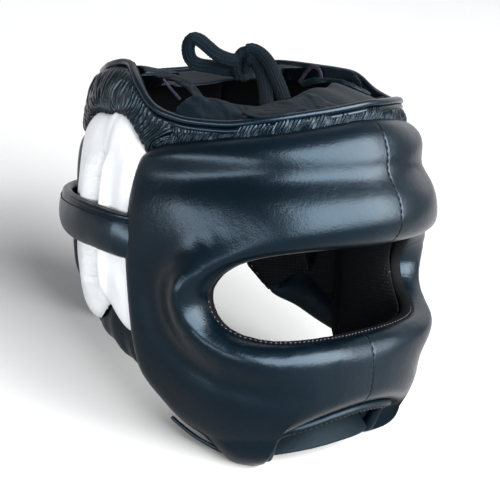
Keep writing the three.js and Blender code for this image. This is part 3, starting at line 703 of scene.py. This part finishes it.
mesh_lining = mesh_lining_material()
worn_map(shell)
line_faces(shell, mesh_lining, facing_out(shell) < -0.35)
lining = piece_from("face_lining", "face_lining_mesh", 2)
worn_map(lining)
dressed(lining, "face_lining", mesh_lining)
strip_line = smooth_line(eased(slot_ring + slot_ring[:1], 3), 0.0012)
inward = -outward_along(strip_line)
strip_middle = strip_line + inward * STRIP_SET_IN / 1000
ring_across = unit(np.cross(unit(np.gradient(strip_middle, axis=0)), inward))
strip_rows = len(strip_middle) - 1
strip_points = []
for row in range(strip_rows):
    for turn in 2 * math.pi * np.arange(STRIP_TURNS) / STRIP_TURNS:
        deep = inward[row] * STRIP_DEPTH / 1000 * math.cos(turn)
        thick = ring_across[row] * STRIP_HALF_THICKNESS / 1000 * math.sin(turn)
        strip_points.append(tuple(strip_middle[row] + deep + thick))
strip_mesh = bpy.data.meshes.new("slot_strip")
strip_mesh.from_pydata(strip_points, [], tube_faces(strip_rows, STRIP_TURNS, closed=True))
strip = in_scene("slot_strip", strip_mesh)
finish_faces(strip)
worn_map(strip)
SLOT_CLOTH = ((0.0003, 0.0004, 0.0006), (0.0007, 0.0009, 0.0012))
slot_cloth = new_material("slot_cloth", SLOT_CLOTH, 700, (0.7, 0.85), 0.04)
dressed(strip, None, slot_cloth)
PALE_THREAD = ((0.016, 0.015, 0.021), (0.034, 0.032, 0.040))
thread_pale = new_material("pale_thread", PALE_THREAD, 1500, (0.55, 0.7), 0.2)
from_middle = strip_middle - strip_middle[:-1].mean(0)
ring_out = np.where((ring_across * from_middle).sum(1)[:, None] > 0, -1.0, 1.0)
strip_edge = strip_middle - inward * 0.0028 + ring_across * ring_out * 0.0013
strip_edge = strip_edge[np.argmax(around_head(strip_edge)[0]):]
strip_edge = strip_edge[:np.argmax(around_head(strip_edge)[0] < LAST_SLOT_STITCH)]
slot_stitches = stitch_row("slot_stitches", strip_edge, 0.0015, 0.0017, 0.0006, thread_pale)

# Crown
# A soft band of thin leather over light padding, gathered onto the top of the shell in front, finely pleated
# in the arches over the ears and at the back. Its rim is rolled twice and sewn between the rolls.
RIM_SEAM = 6.4
ARCH_FROM = 96
ARCH_MIDDLE = (116, 178)
PLEAT_SPACING = 5.2
# Each row: an angle, the rim's height on the right and on the left, and the height of the band's foot.
CROWN_RIM = [
    (0, 229, 229, 216), (30, 223, 230, 212), (60, 218, 228, 206), (78, 220, 232, 204),
    (90, 225, 239, 197), (99, 235, 244, 203), (108, 246, 247, 214), (118, 252, 249, 220),
    (130, 252.5, 249, 217), (145, 250, 248, 205), (162, 246, 246, 198), (180, 245, 245, 197),
]


def turn_of(angle):
    """The angle brought between -180 and 180 degrees."""
    return (np.asarray(angle) + 180) % 360 - 180


def rim_height(angle):
    rows = np.array(CROWN_RIM)
    angle = turn_of(angle)
    right, left = [np.interp(np.abs(angle), rows[:, 0], rows[:, column]) for column in (1, 2)]
    return np.where(angle >= 0, right, left)


# How far the soft rim has settled up or down from its cut height, by angle.
RIM_SETTLE = [
    (-180, -4), (-162, -3.5), (-145, -2.5), (-127, -1), (-118, -2.3), (-107, -2), (-95, 1), (-89, 3.6),
    (-85.5, 3), (-83, 0), (-78, -2.5), (-68, -4), (-50, -3), (-25, -1), (0, 0), (30, 1), (60, 0),
    (130, 0), (145, -2), (162, -4), (180, -4),
]


def rim_top(angle):
    rows = np.array(RIM_SETTLE)
    return rim_height(angle) + np.interp(turn_of(angle), rows[:, 0], rows[:, 1])


def crown_foot(angle):
    rows = np.array(CROWN_RIM)
    return np.interp(np.abs(angle), rows[:, 0], rows[:, 3])


def pleated(material, map_name, spacing, strength):
    """Close parallel pleats across the first value of the map, in millimetres, fading out near the rim."""
    nodes = material.node_tree.nodes
    lines = add_node(nodes, "TexWave", Scale=math.pi / (10 * spacing))
    for socket, value in (("Distortion", 5), ("Detail", 2.5), ("Detail Scale", 0.35)):
        lines.inputs[socket].default_value = value
    fade = add_node(nodes, "MapRange", From_Min=3, From_Max=10)
    lines_on_map(material, map_name, (1, 0.22, 1), lines, fade, strength, 0.0009)


def arch_rise(angle):
    """How far the arch over the ear is drawn up on both sides of its top, in millimetres."""
    turn = np.abs(angle)
    return 4.0 * hill(turn, 106, 6) - 1.6 * hill(turn, 118, 4) + 2.5 * hill(turn, 131, 6)


def crown_folds(piece, gathers, pleats):
    """Gathers and pleats on the outer side of the band, then its foot, ends and rim."""
    arched = "side" in piece.name
    angle, height, out, _ = on_head(piece)
    below = rim_height(angle) - height
    arc = angle * MM_PER_DEGREE
    lump = cloth_noise(arc * 0.28, height * 0.06, 5.0) + 0.6 * cloth_noise(arc * 0.6, height * 0.1, 9.0)
    run = arc
    if arched:
        run = 36 * np.arctan2((np.abs(angle) - ARCH_MIDDLE[0]) * MM_PER_DEGREE, height - ARCH_MIDDLE[1])
    run = run + 4.4 * cloth_noise(arc * 0.05, height * 0.05, 1.0)
    uneven = 0.6 + 0.9 * cloth_noise(arc * 0.12, height * 0.07, 4.0)
    folds = gathers * lump + pleats * np.sin(2 * math.pi * run / PLEAT_SPACING) * uneven
    corner_map(piece, "pleat", run, below)
    push(piece, ramp(4 * out) * (ramp((below - 7) / 3) * folds - 1.2 * hill(below, 4.4, 1.2)))
    angle, height, out, (x, y, z) = on_head(piece)
    above_foot = height - crown_foot(angle)
    z = z - 4 * ramp(1 - above_foot / 5) * ((np.abs(angle) < ARCH_FROM) | (out < 0))
    turn = angle % 360 if piece.name.startswith("crown_back") else angle
    ends = ramp(1 - (turn - turn.min()) / 2.5) - ramp(1 - (turn.max() - turn) / 2.5)
    x = x + 1.4 * ends * np.cos(np.radians(angle))
    y = y - 1.4 * ends * np.sin(np.radians(angle))
    if arched:
        z = z + arch_rise(angle) * ramp(1 - above_foot / 18)
    settled = rim_top(angle)
    z = z + (settled - rim_height(angle)) * ramp(1 - (rim_height(angle) - height) / 20)
    z = z - np.clip(z - settled + 2.2, 0, 10)
    give_points(piece, as_rest(x, y, z))


crown_leather = navy_leather("crown_leather", 0.2, 0.2, (0.22, 0.32), 0.16)
pleated_leather = navy_leather("pleated_leather", 0.2, 0.12, (0.2, 0.3), 0.17)
pleated(pleated_leather, "pleat", 2.3, 0.9)
bands = []
for node in ("crown_front", "crown_side_right", "crown_side_left", "crown_back"):
    gathers, pleats = (1.4, 0.15) if node == "crown_front" else (0.7, 0.4)
    band = piece_from(node, node + "_leather", 3)
    crown_folds(band, gathers, pleats)
    dressed(band, node, pleated_leather)
    line_faces(band, slot_cloth, facing_out(band) < 0.1)
    bands.append(band)


def along_rim(turns, below, lift):
    """Points on the outer side of the crown, below its rim by so many millimetres."""
    return outer_side(bands, [(a, float(rim_top(a)) - below) for a in turns], lift)


all_round = np.linspace(-180, 180, 241)
in_front = np.linspace(-84, 84, 115)
RIM_ROLLS = (("rim_roll", all_round, 2.4, -0.8, 2.3), ("rim_cord", in_front, 6.4, -0.4, 1.7))
for roll_name, turns_there, below, lift, radius in RIM_ROLLS:
    line = eased(along_rim(turns_there, RIM_SEAM, lift), 3)
    arched = np.abs(turns_there) > ARCH_FROM
    leaning = np.zeros(len(line))
    if arched.any():
        lower = np.array(along_rim(turns_there[arched], RIM_SEAM + 4, lift))
        leaning[arched] = np.clip(around_head(lower)[2] - around_head(line[arched])[2], 0, 6) / 4
    raised = np.array(rest_direction(0, 0, 1)) - outward_along(line) * leaning[:, None]
    line = smooth_line(eased(line + raised * (RIM_SEAM - below) / 1000, 3), 0.0012)
    roll = swept_mesh(roll_name, line, round_section(radius), outward_along(line), 14)
    dressed(roll, None, crown_leather)
    if roll_name == "rim_roll":
        roll_angle, roll_height, roll_distance = around_head(line)
for band in bands:
    points = mesh_points(band)[0]
    angle, height, distance = around_head(points)
    below = np.clip(rim_top(angle) - height, 0, None)
    edge = np.interp(angle, roll_angle, roll_distance, period=360)
    grow = np.where(below < 10, np.clip(edge - 1 - 0.6 * below - distance, 0, 12), 0)
    x, y, z = as_worn(points)
    give_points(band, as_rest(x * (1 + grow / distance), y * (1 + grow / distance), z))
line = eased(along_rim(all_round, 4.7, 0.3), 2)
stitch_row("rim_stitches", line, 0.0022, 0.0012, 0.0008, thread_dark)

# The gathered foot of the band lies on the top of the shell as an uneven soft roll.
RUFFLE_TURNS = 36
RUFFLE_STEP = 0.5


def ruffle(along, turn, length):
    wide, deep = math.cos(turn), math.sin(turn)
    run = along * 1000 + 2.5 * wide
    lump = noise.noise((run * 0.09, 0.4 * deep, 3.0)) + 0.5 * noise.noise((run * 0.22, 0.6 * wide, 7.0))
    uneven = 5 * noise.noise((run * 0.13, 0.3 * wide, 5.0))
    fold = math.sin(2 * math.pi * (run + 2.5 * wide) / 3.3 + uneven)
    ends = min(1, 0.2 + along / 0.01, 0.2 + (length - along) / 0.01)
    return 0.0052 * wide * (1 + 0.3 * lump) * ends, 0.0021 * deep * (1 + 0.7 * lump + 0.16 * fold) * ends


line = outer_side(bands, [(a, float(crown_foot(a)) + 2.6) for a in np.linspace(-92, 92, 140)], 0.1)
line = smooth_line(eased(line, 4), RUFFLE_STEP / 1000)
foot = swept_mesh("crown_gathers", line, ruffle, outward_along(line), RUFFLE_TURNS)
run = np.repeat(np.arange(len(line)) * RUFFLE_STEP, RUFFLE_TURNS)
slant = np.tile(np.cos(2 * math.pi * np.arange(RUFFLE_TURNS) / RUFFLE_TURNS), len(line))
corner_map(foot, "pleat", run + 4 * slant, 20 + 5 * slant)
dressed(foot, None, pleated_leather)

# Crown flaps
# Two thin flaps of the same leather turned into the top opening, with channels for the lace.
# Their cut edges show the raw purplish back of the leather.
FLAP_NAVY = ((0.00005, 0.0007, 0.0014), (0.0002, 0.0012, 0.0022))
RAW_BACK = ((0.005, 0.004, 0.009), (0.013, 0.010, 0.020))
BACK_FLAP_FROM = 114
BACK_FLAP_LEVEL = 243


def turned_round(x, y, turn):
    """Places as worn, turned round the head by so many radians."""
    return x * np.cos(turn) - y * np.sin(turn), x * np.sin(turn) + y * np.cos(turn)


flap_leather = navy_leather("flap_leather", 0.25, 0.6, (0.42, 0.58), 0.09, FLAP_NAVY)
raw_leather = new_material("raw_leather", RAW_BACK, 400, (0.7, 0.85), 0.12)
for node in ("crown_flap_front", "crown_flap_back"):
    flap = piece_from(node, node + "_leather", 3)
    points = mesh_points(flap)[0]
    angle, height, distance = around_head(points)
    free = ramp((rim_height(angle) - height) / 8)
    waves = cloth_noise(angle * 0.035, distance * 0.02, 2.0)
    waves = waves + 0.25 * cloth_noise(angle * 0.11, distance * 0.05, 6.0)
    x, y, z = as_worn(points)
    z = z + 2 * waves * free
    if node == "crown_flap_back":
        drawn = np.clip(BACK_FLAP_FROM - np.abs(angle), 0, None) * 0.95
        x, y = turned_round(x, y, np.radians(drawn) * -np.sign(angle))
        angle = np.degrees(np.arctan2(-x, -y))
        lifted = np.maximum(z, BACK_FLAP_LEVEL + 0.1 * (z - BACK_FLAP_LEVEL))
        z = np.where(np.abs(angle) < BACK_FLAP_FROM + 8, lifted, z)
        z = z - np.clip(z - (rim_top(angle) - 3.5), 0, 12) * (np.abs(angle) > ARCH_FROM - 1)
    else:
        z = z - 3.5 * hill(angle, -14, 26) * free
    give_points(flap, as_rest(x, y, z))
    dressed(flap, node, flap_leather)
    line_faces(flap, raw_leather, facing_out(flap) < -0.88)


def strip_between(name, edges, thickness, wrinkles, material):
    """A thin band of leather between two lines of points as worn, with soft wrinkles across it."""
    step = 0.8
    turns = 40
    lines = [smooth_line([rest_point(*p) for p in edge], step / 1000) for edge in edges]
    count = max(len(line) for line in lines)
    share = np.linspace(0, 1, count)
    matched = []
    for line in lines:
        lane = np.linspace(0, 1, len(line))
        matched.append(np.stack([np.interp(share, lane, line[:, k]) for k in range(3)], 1))
    middle, half = (matched[0] + matched[1]) / 2, (matched[1] - matched[0]) / 2
    faces = unit(np.cross(np.gradient(middle, axis=0), half))
    band = swept_mesh(name, middle, round_section(1), faces, turns)
    turn = 2 * math.pi * np.arange(turns) / turns
    wide = np.sign(np.cos(turn)) * np.abs(np.cos(turn)) ** 0.6
    deep = np.sign(np.sin(turn)) * np.abs(np.sin(turn)) ** 0.8
    points = []
    for row in range(count):
        run = row * step
        for w, d in zip(wide, deep):
            fold = noise.noise((run * 0.12 + w, w * 0.8, 4.0)) + 0.5 * noise.noise((run * 0.35, w * 1.6, 8.0))
            raised = (d * thickness / 2 + wrinkles * fold) / 1000
            points.append(middle[row] + half[row] * w + faces[row] * raised)
    give_points(band, points)
    finish_faces(band)
    dressed(band, None, material)


def beside_roll(turn, inset, rise):
    """A point as worn beside the rolled rim at this angle, towards the middle of the head."""
    out = float(np.interp(turn, roll_angle, roll_distance, period=360)) - inset
    height = float(np.interp(turn, roll_angle, roll_height, period=360)) + rise
    return -out * math.sin(math.radians(turn)), -out * math.cos(math.radians(turn)), height


# The front flap is folded over into a lip along the rim, and the lace shows through its slit.
LIP_INNER = [
    (-87.7, -12.0, 225.1), (-83.6, -12.9, 228.2), (-79.5, -13.8, 230.2), (-76.2, -16.4, 231.4),
    (-72.8, -20.6, 230.4), (-68.3, -29.6, 228.5), (-62.1, -38.4, 225.9), (-56.0, -44.9, 225.1),
    (-52.5, -48.1, 225.6), (-49.4, -51.0, 227.0), (-44.7, -54.7, 227.9), (-39.6, -58.1, 228.5),
    (-32.9, -60.1, 230.0), (-24.2, -62.0, 231.8),
]
LIP_FAR_TURNS = (12, 2, -10, -22, -34, -46, -58, -70)
lip_turns = [math.degrees(math.atan2(-x, -y)) for x, y, z in LIP_INNER]
lip_outer = [beside_roll(turn, 1.5, 0.5) for turn in lip_turns]
lip_outer = lip_outer + [beside_roll(turn, 1.5, 0) for turn in LIP_FAR_TURNS]
lip_inner = LIP_INNER + [beside_roll(turn, 14, -3.5) for turn in LIP_FAR_TURNS]
strip_between("flap_lip", (lip_outer, lip_inner), 2.4, 0.9, flap_leather)
SLIT_EDGES = (
    [(-71.8, -49.4, 221.4), (-68.2, -56.4, 219.8), (-62.1, -62.7, 219.5), (-54.9, -68.0, 220.5),
     (-45.1, -71.0, 222.0)],
    [(-71.7, -49.2, 221.8), (-61.3, -47.5, 224.1), (-52.5, -52.2, 225.5), (-47.0, -59.2, 224.7),
     (-44.9, -70.9, 222.3)],
)
SLIT_LIFT = 2.2
slit_edges = [[Vector(p) + SLIT_LIFT * towards for p in edge] for edge in SLIT_EDGES]
strip_between("flap_slit_lace", slit_edges, 2.0, 0.2, lace_braid)

# Bands of the same leather cross the opening from the flaps, folded into channels with raw edges.
FOLD_EDGES = {
    "flap_fold_near": (
        [(-62.5, 39.7, 245.7), (-59.2, 30.6, 243.7), (-58.6, 20.3, 241.8), (-61.6, 6.7, 239.3),
         (-66.1, -4.7, 235.8), (-71.2, -16.6, 230.6)],
        [(-70.2, 31.4, 242.3), (-66, 25.1, 239.7), (-66, 15.1, 238.6), (-68.6, 4.6, 236),
         (-72.3, -5.4, 232.9), (-77.7, -16, 229.7)]),
    "flap_fold_far": (
        [(74.5, 56.1, 246.9), (78.2, 38.9, 245.5), (79.6, 21.8, 243.5), (80.6, 4.7, 241.9),
         (81.1, -3.7, 240.7), (81, -9.1, 238.2), (80.6, -13.9, 233)],
        [(74.2, 50.1, 233.2), (76.5, 37.3, 232.1), (77.7, 25.5, 233.2), (77.2, 14.2, 234.2),
         (78.8, 3.1, 233.9), (79.1, -6.4, 232.2), (78.2, -16.8, 229.2)]),
    "flap_fold_left": (
        [(50.9, 15.4, 233.8), (50.3, 5.1, 236.1), (53.1, -1.3, 237.1), (56.8, -11.2, 236.3),
         (59.1, -17.8, 234.8), (65.4, -23.8, 231.3), (74.8, -27.3, 226.4)],
        [(47.7, 9, 230.1), (49, 0.4, 232.7), (51.2, -3.8, 233.7), (55, -9.3, 233.8),
         (55.9, -20.6, 232.4), (61.8, -26.8, 229.4), (72.5, -27.4, 225.5)]),
}
for fold_name, edges in FOLD_EDGES.items():
    strip_between(fold_name, edges, 2.0, 0.7, flap_leather)
RAW_EDGES = {
    "raw_edge_near": (
        [(-73, 15.5, 240.3), (-73.3, 10.8, 236.5), (-75.2, 3.6, 232.9), (-79.1, -5.6, 229.2)],
        [(-72.9, 16.5, 239.3), (-73.3, 12.2, 235.5), (-75.3, 5.2, 231.9), (-79.1, -3.9, 228.2)]),
    "raw_edge_left": (
        [(62, -15.5, 229.1), (64.7, -20.2, 227.9), (70.2, -22.5, 226.8), (72, -28.7, 225.6)],
        [(58.1, -20.5, 227.5), (60.8, -24.2, 225.9), (65.3, -26.6, 224.6), (70.8, -28.8, 224.3)]),
}
for raw_name, edges in RAW_EDGES.items():
    strip_between(raw_name, edges, 1.2, 0.2, raw_leather)
CHANNEL_MOUTH = [
    (75.5, 37.4, 231.8), (75.5, 34.1, 235.7), (75.7, 30, 239.9), (75.7, 25.6, 242.8),
    (75.7, 21.1, 242.2), (75.6, 18.2, 239.6), (75.5, 16.7, 234.9),
]


def mouth_section(along, turn, length):
    return 0.0014 * math.cos(turn), 0.0006 * math.sin(turn)


line = smooth_line([rest_point(*p) for p in CHANNEL_MOUTH], 0.0008)
mouth = swept_mesh("channel_mouth", line, mouth_section, outward_along(line), 14)
dressed(mouth, None, raw_leather)

# Ear pads
# White leather pads behind the shell, each stuffed as two upright rolls with a sewn groove between them.
# The leather is drawn into small level wrinkles beside the groove. A dark lining lies inside the ear hole.
EAR_GROOVE = 121
GROOVE_AHEAD = 5
WHITE = ((0.215, 0.222, 0.23), (0.248, 0.254, 0.261))
# A grey much darker than the white leather, for the cord along the groove: it is painted shade in the groove,
# laid over its sewn seam.
GROOVE_SHADE_THREAD = ((0.05, 0.053, 0.058), (0.08, 0.084, 0.09))


def edge_height(angle, height, edge):
    """The height of the piece's own edge beside each point, where edge is np.min for its foot or np.max."""
    bins = np.round(angle / 2).astype(int)
    found = [edge(height[np.abs(bins - b) <= 1]) for b in range(bins.min(), bins.max() + 1)]
    return np.array(found)[bins - bins.min()]


white_leather = new_material("white_leather", WHITE, 22, (0.4, 0.52), 0.2)
grained(white_leather, 1000, 0.15)
wrinkled(white_leather, 0.18, 0.0008, Scale=160, Detail=5)
creased(white_leather, "groove", 1, 13, 0.55, 0.6)
groove_shade_thread = new_material("groove_shade_thread", GROOVE_SHADE_THREAD, 900, (0.6, 0.75), 0.1)
for side, word in SIDES:
    pad = piece_from("ear_pad_" + word, "ear_pad_leather_" + word, 3)
    angle, height, _, (x, y, z) = on_head(pad)
    ahead = np.radians(GROOVE_AHEAD * hill(side * angle, EAR_GROOVE, 9)) * side
    give_points(pad, as_rest(*turned_round(x, y, ahead), z))
    turn = side * angle - EAR_GROOVE
    sewn = ramp((196 - height) / 10) * ramp((height - 100) / 12)
    corner_map(pad, "groove", height, np.abs(turn) * MM_PER_DEGREE + 30 * (1 - sewn))
    groove = sewn * (3.0 * hill(np.abs(turn), 5.5, 3.4) - 6.0 * hill(turn, 0, 1.1))
    groove = groove + 1.6 * hill(turn, 0, 3) * ramp((height - 188) / 8)
    drawn_in = ramp(cloth_noise(turn * 0.07, height * 0.36, 3.0 + side) - 0.05)
    creases = -3.3 * drawn_in * hill(turn, 3.5, 4.5) * sewn
    slack = 0.5 * cloth_noise(turn * 0.15, height * 0.05, 8.0)
    push(pad, ramp(4 * facing_out(pad)) * (groove + creases + slack))
    dressed(pad, "ear_pad_" + word, white_leather)
    worn_map(pad)
    pad.data.materials.append(slot_cloth)
    pad.data.materials.append(mesh_lining)
    angle, height, out, (x, y, z) = on_head(pad)
    give_points(pad, as_rest(x, y, z + arch_rise(angle) * ramp((height - 186) / 18)))
    for face in pad.data.polygons:
        outermost = max(out[corner] for corner in face.vertices)
        face.material_index = 2 if outermost < -0.6 else int(outermost < 0.25)
    # A grey cord along the sewn groove stands for its seam, and its dark colour paints the shade that lies in
    # the groove.
    sewn_at = side * (EAR_GROOVE - GROOVE_AHEAD)
    line = outer_side([pad], [(sewn_at, h) for h in np.linspace(108, 192, 60)], 0.1)
    line = smooth_line(eased(line, 3), 0.001)
    groove_shade_seam = swept_mesh("groove_shade_seam_" + word, line, round_section(0.7), outward_along(line), 10)
    dressed(groove_shade_seam, None, groove_shade_thread)
    patch = piece_from("ear_lining_" + word, "ear_lining_mesh_" + word, 2)
    angle, height, _, (x, y, z) = on_head(patch)
    above_foot = height - edge_height(angle, height, np.min)
    give_points(patch, as_rest(x, y, z - 3.5 * ramp(1 - above_foot / 7)))
    worn_map(patch)
    dressed(patch, "ear_lining_" + word, mesh_lining)

# Jaw gussets
# Thin leather folded between the ear pad and the lower edge of the shell, so the jaw can spread.
gusset_leather = navy_leather("gusset_leather", 0.25, 0.4, (0.3, 0.45))
for side, word in SIDES:
    gusset = piece_from("jaw_gusset_" + word, "jaw_gusset_leather_" + word, 3)
    angle, height, out, _ = on_head(gusset)
    push(gusset, 1.3 * cloth_noise(angle * 0.16, height * 0.05, 1.0 + side) * ramp(4 * out))
    angle, height, out, (x, y, z) = on_head(gusset)
    below_top = edge_height(angle, height, np.max) - height
    z = z + np.where(out < 0, 11, 7) * ramp(1 - below_top / 7)
    give_points(gusset, as_rest(x, y, z))
    dressed(gusset, "jaw_gusset_" + word, gusset_leather)

# Back panel
# Padded leather over the back of the head, down to the nape tail that the headgear rests on.
back_leather = navy_leather("back_leather", 0.2, 0.2, (0.28, 0.4))
back = piece_from("back_panel", "back_panel_leather", 2)
angle, height, out, (x, y, z) = on_head(back)
turn = np.abs(angle)
puffed = 2.0 * hill(turn, 143, 11) * ramp((150 - height) / 20)
puffed = puffed - 0.8 * hill(turn, 146, 12) * ramp((height - 158) / 14)
under = 8 * ramp(1 - (turn - turn.min()) / 5) * (out < 0)
x = x - under * np.sign(angle) * np.abs(np.cos(np.radians(angle)))
y = y - under * np.abs(np.sin(np.radians(angle)))
give_points(back, as_rest(x, y, z))
push(back, ramp(4 * out) * (puffed + 0.6 * cloth_noise(angle * 0.05, height * 0.04, 6.0)))
set_down(back, mesh_points(back)[0])
dressed(back, "back_panel", back_leather)

# Back strap
# A padded leather band round the back of the head, from shell edge to shell edge.
# Its top edge is bound and sewn.
STRAP_MIDDLE = [(90, 144), (98, 146), (108, 149), (120, 151.5), (145, 153.5), (180, 154)]
STRAP_HALF_WIDTH = 14


def strap_height(angle):
    rows = np.array(STRAP_MIDDLE)
    return np.interp(180 - np.abs(180 - np.asarray(angle) % 360), rows[:, 0], rows[:, 1])


def along_strap(turns, above, lift):
    """Points on the outer side of the strap, above its middle by so many millimetres."""
    return outer_side([strap], [(a, float(strap_height(a)) + above) for a in turns], lift)


strap = piece_from("back_strap", "back_strap_leather", 3)
angle, height, out, _ = on_head(strap)
share = (height - strap_height(angle)) / STRAP_HALF_WIDTH
uneven = 0.5 * cloth_noise(angle * 0.12, height * 0.08, 3.0)
push(strap, ramp(3 * out) * (2.4 * ramp(1 - share ** 2) + uneven))
angle, height, _, (x, y, z) = on_head(strap)
sewn_in = ramp((101 - np.abs(angle)) / 9)
give_points(strap, as_rest(x * (1 - 0.025 * sewn_in), y - 9 * sewn_in, z))
strap_leather = navy_leather("strap_leather", 0.2, 0.25, (0.24, 0.34), 0.2)
dressed(strap, "back_strap", strap_leather)
line = smooth_line(eased(along_strap(np.linspace(93, 267, 150), 12.2, -0.9), 3), 0.0012)
edge = swept_mesh("strap_binding", line, round_section(2.1), outward_along(line), 14)
dressed(edge, None, crown_leather)
line = along_strap(np.linspace(95, 265, 160), 9, 0.2)
stitch_row("strap_stitches", line, 0.0026, 0.0013, 0.0008, thread_dark)

# Chin arch
# The edge under the bar is bound with a narrow rolled strip, sewn along, that runs from jaw tip to jaw tip.
# A doubled leather band passes under the chin behind it, its ends sewn inside the jaw tips.
CHIN_EDGE = [
    (-49, -46.8, 9.2), (-50, -50.4, 14), (-50.5, -54.6, 21.1), (-50, -59.6, 26), (-47, -65.5, 28.7),
    (-42.2, -69.2, 30), (-33, -73.3, 32), (-18.7, -76.9, 34.4), (0, -78.2, 35.5),
]
CHIN_BAND_WIDTH = 26
CHIN_BAND_THICKNESS = 2.6
CHIN_NAVY = ((0.0003, 0.0010, 0.0016), (0.0006, 0.0018, 0.0027))


def binding_section(along, turn, length):
    """Round, and fuller at both ends, where the strip is folded under the jaw tip."""
    radius = 0.0030 + 0.0016 * math.exp(-(min(along, length - along) / 0.016) ** 2)
    return radius * math.cos(turn), radius * math.sin(turn)


def flat_section(along, turn, length):
    wide, deep = math.cos(turn), math.sin(turn)
    half_width, half_thickness = CHIN_BAND_WIDTH / 2000, CHIN_BAND_THICKNESS / 2000
    return (math.copysign(abs(wide) ** 0.45, wide) * half_width,
            math.copysign(abs(deep) ** 0.6, deep) * half_thickness)


chin_route = CHIN_EDGE + [(-x, y, z) for x, y, z in CHIN_EDGE[-2::-1]]
line = smooth_line([rest_point(*p) for p in chin_route], 0.001)
binding = swept_mesh("chin_binding_leather", line, binding_section, rest_direction(0, -0.7, -0.7), 18)
binding_leather = navy_leather("binding_leather", 0.25, 0.3, (0.34, 0.46), 0.1)
dressed(binding, "chin_binding", binding_leather)
sewn_line = eased(line, 2)[8:-8] + np.array(rest_direction(0, -0.8, -0.6)) * 0.0031
stitch_row("chin_stitches", sewn_line, 0.0024, 0.0013, 0.0008, thread_dark)
band_route = []
for share in np.linspace(-1.2, 1.2, 25):
    front = -66 + 15 * abs(share) ** 2.4
    low = 12.5 - 3.5 * share ** 2
    band_route.append((40 * share, front + 0.25 * CHIN_BAND_WIDTH, low + 0.43 * CHIN_BAND_WIDTH))
line = smooth_line([rest_point(*p) for p in band_route], 0.0015)
chin = swept_mesh("chin_strap_leather", line, flat_section, rest_direction(0, -0.86, 0.5), 32)
chin_leather = navy_leather("chin_leather", 0.3, 0.4, (0.5, 0.65), 0.06, CHIN_NAVY)
dressed(chin, "chin_strap", chin_leather)
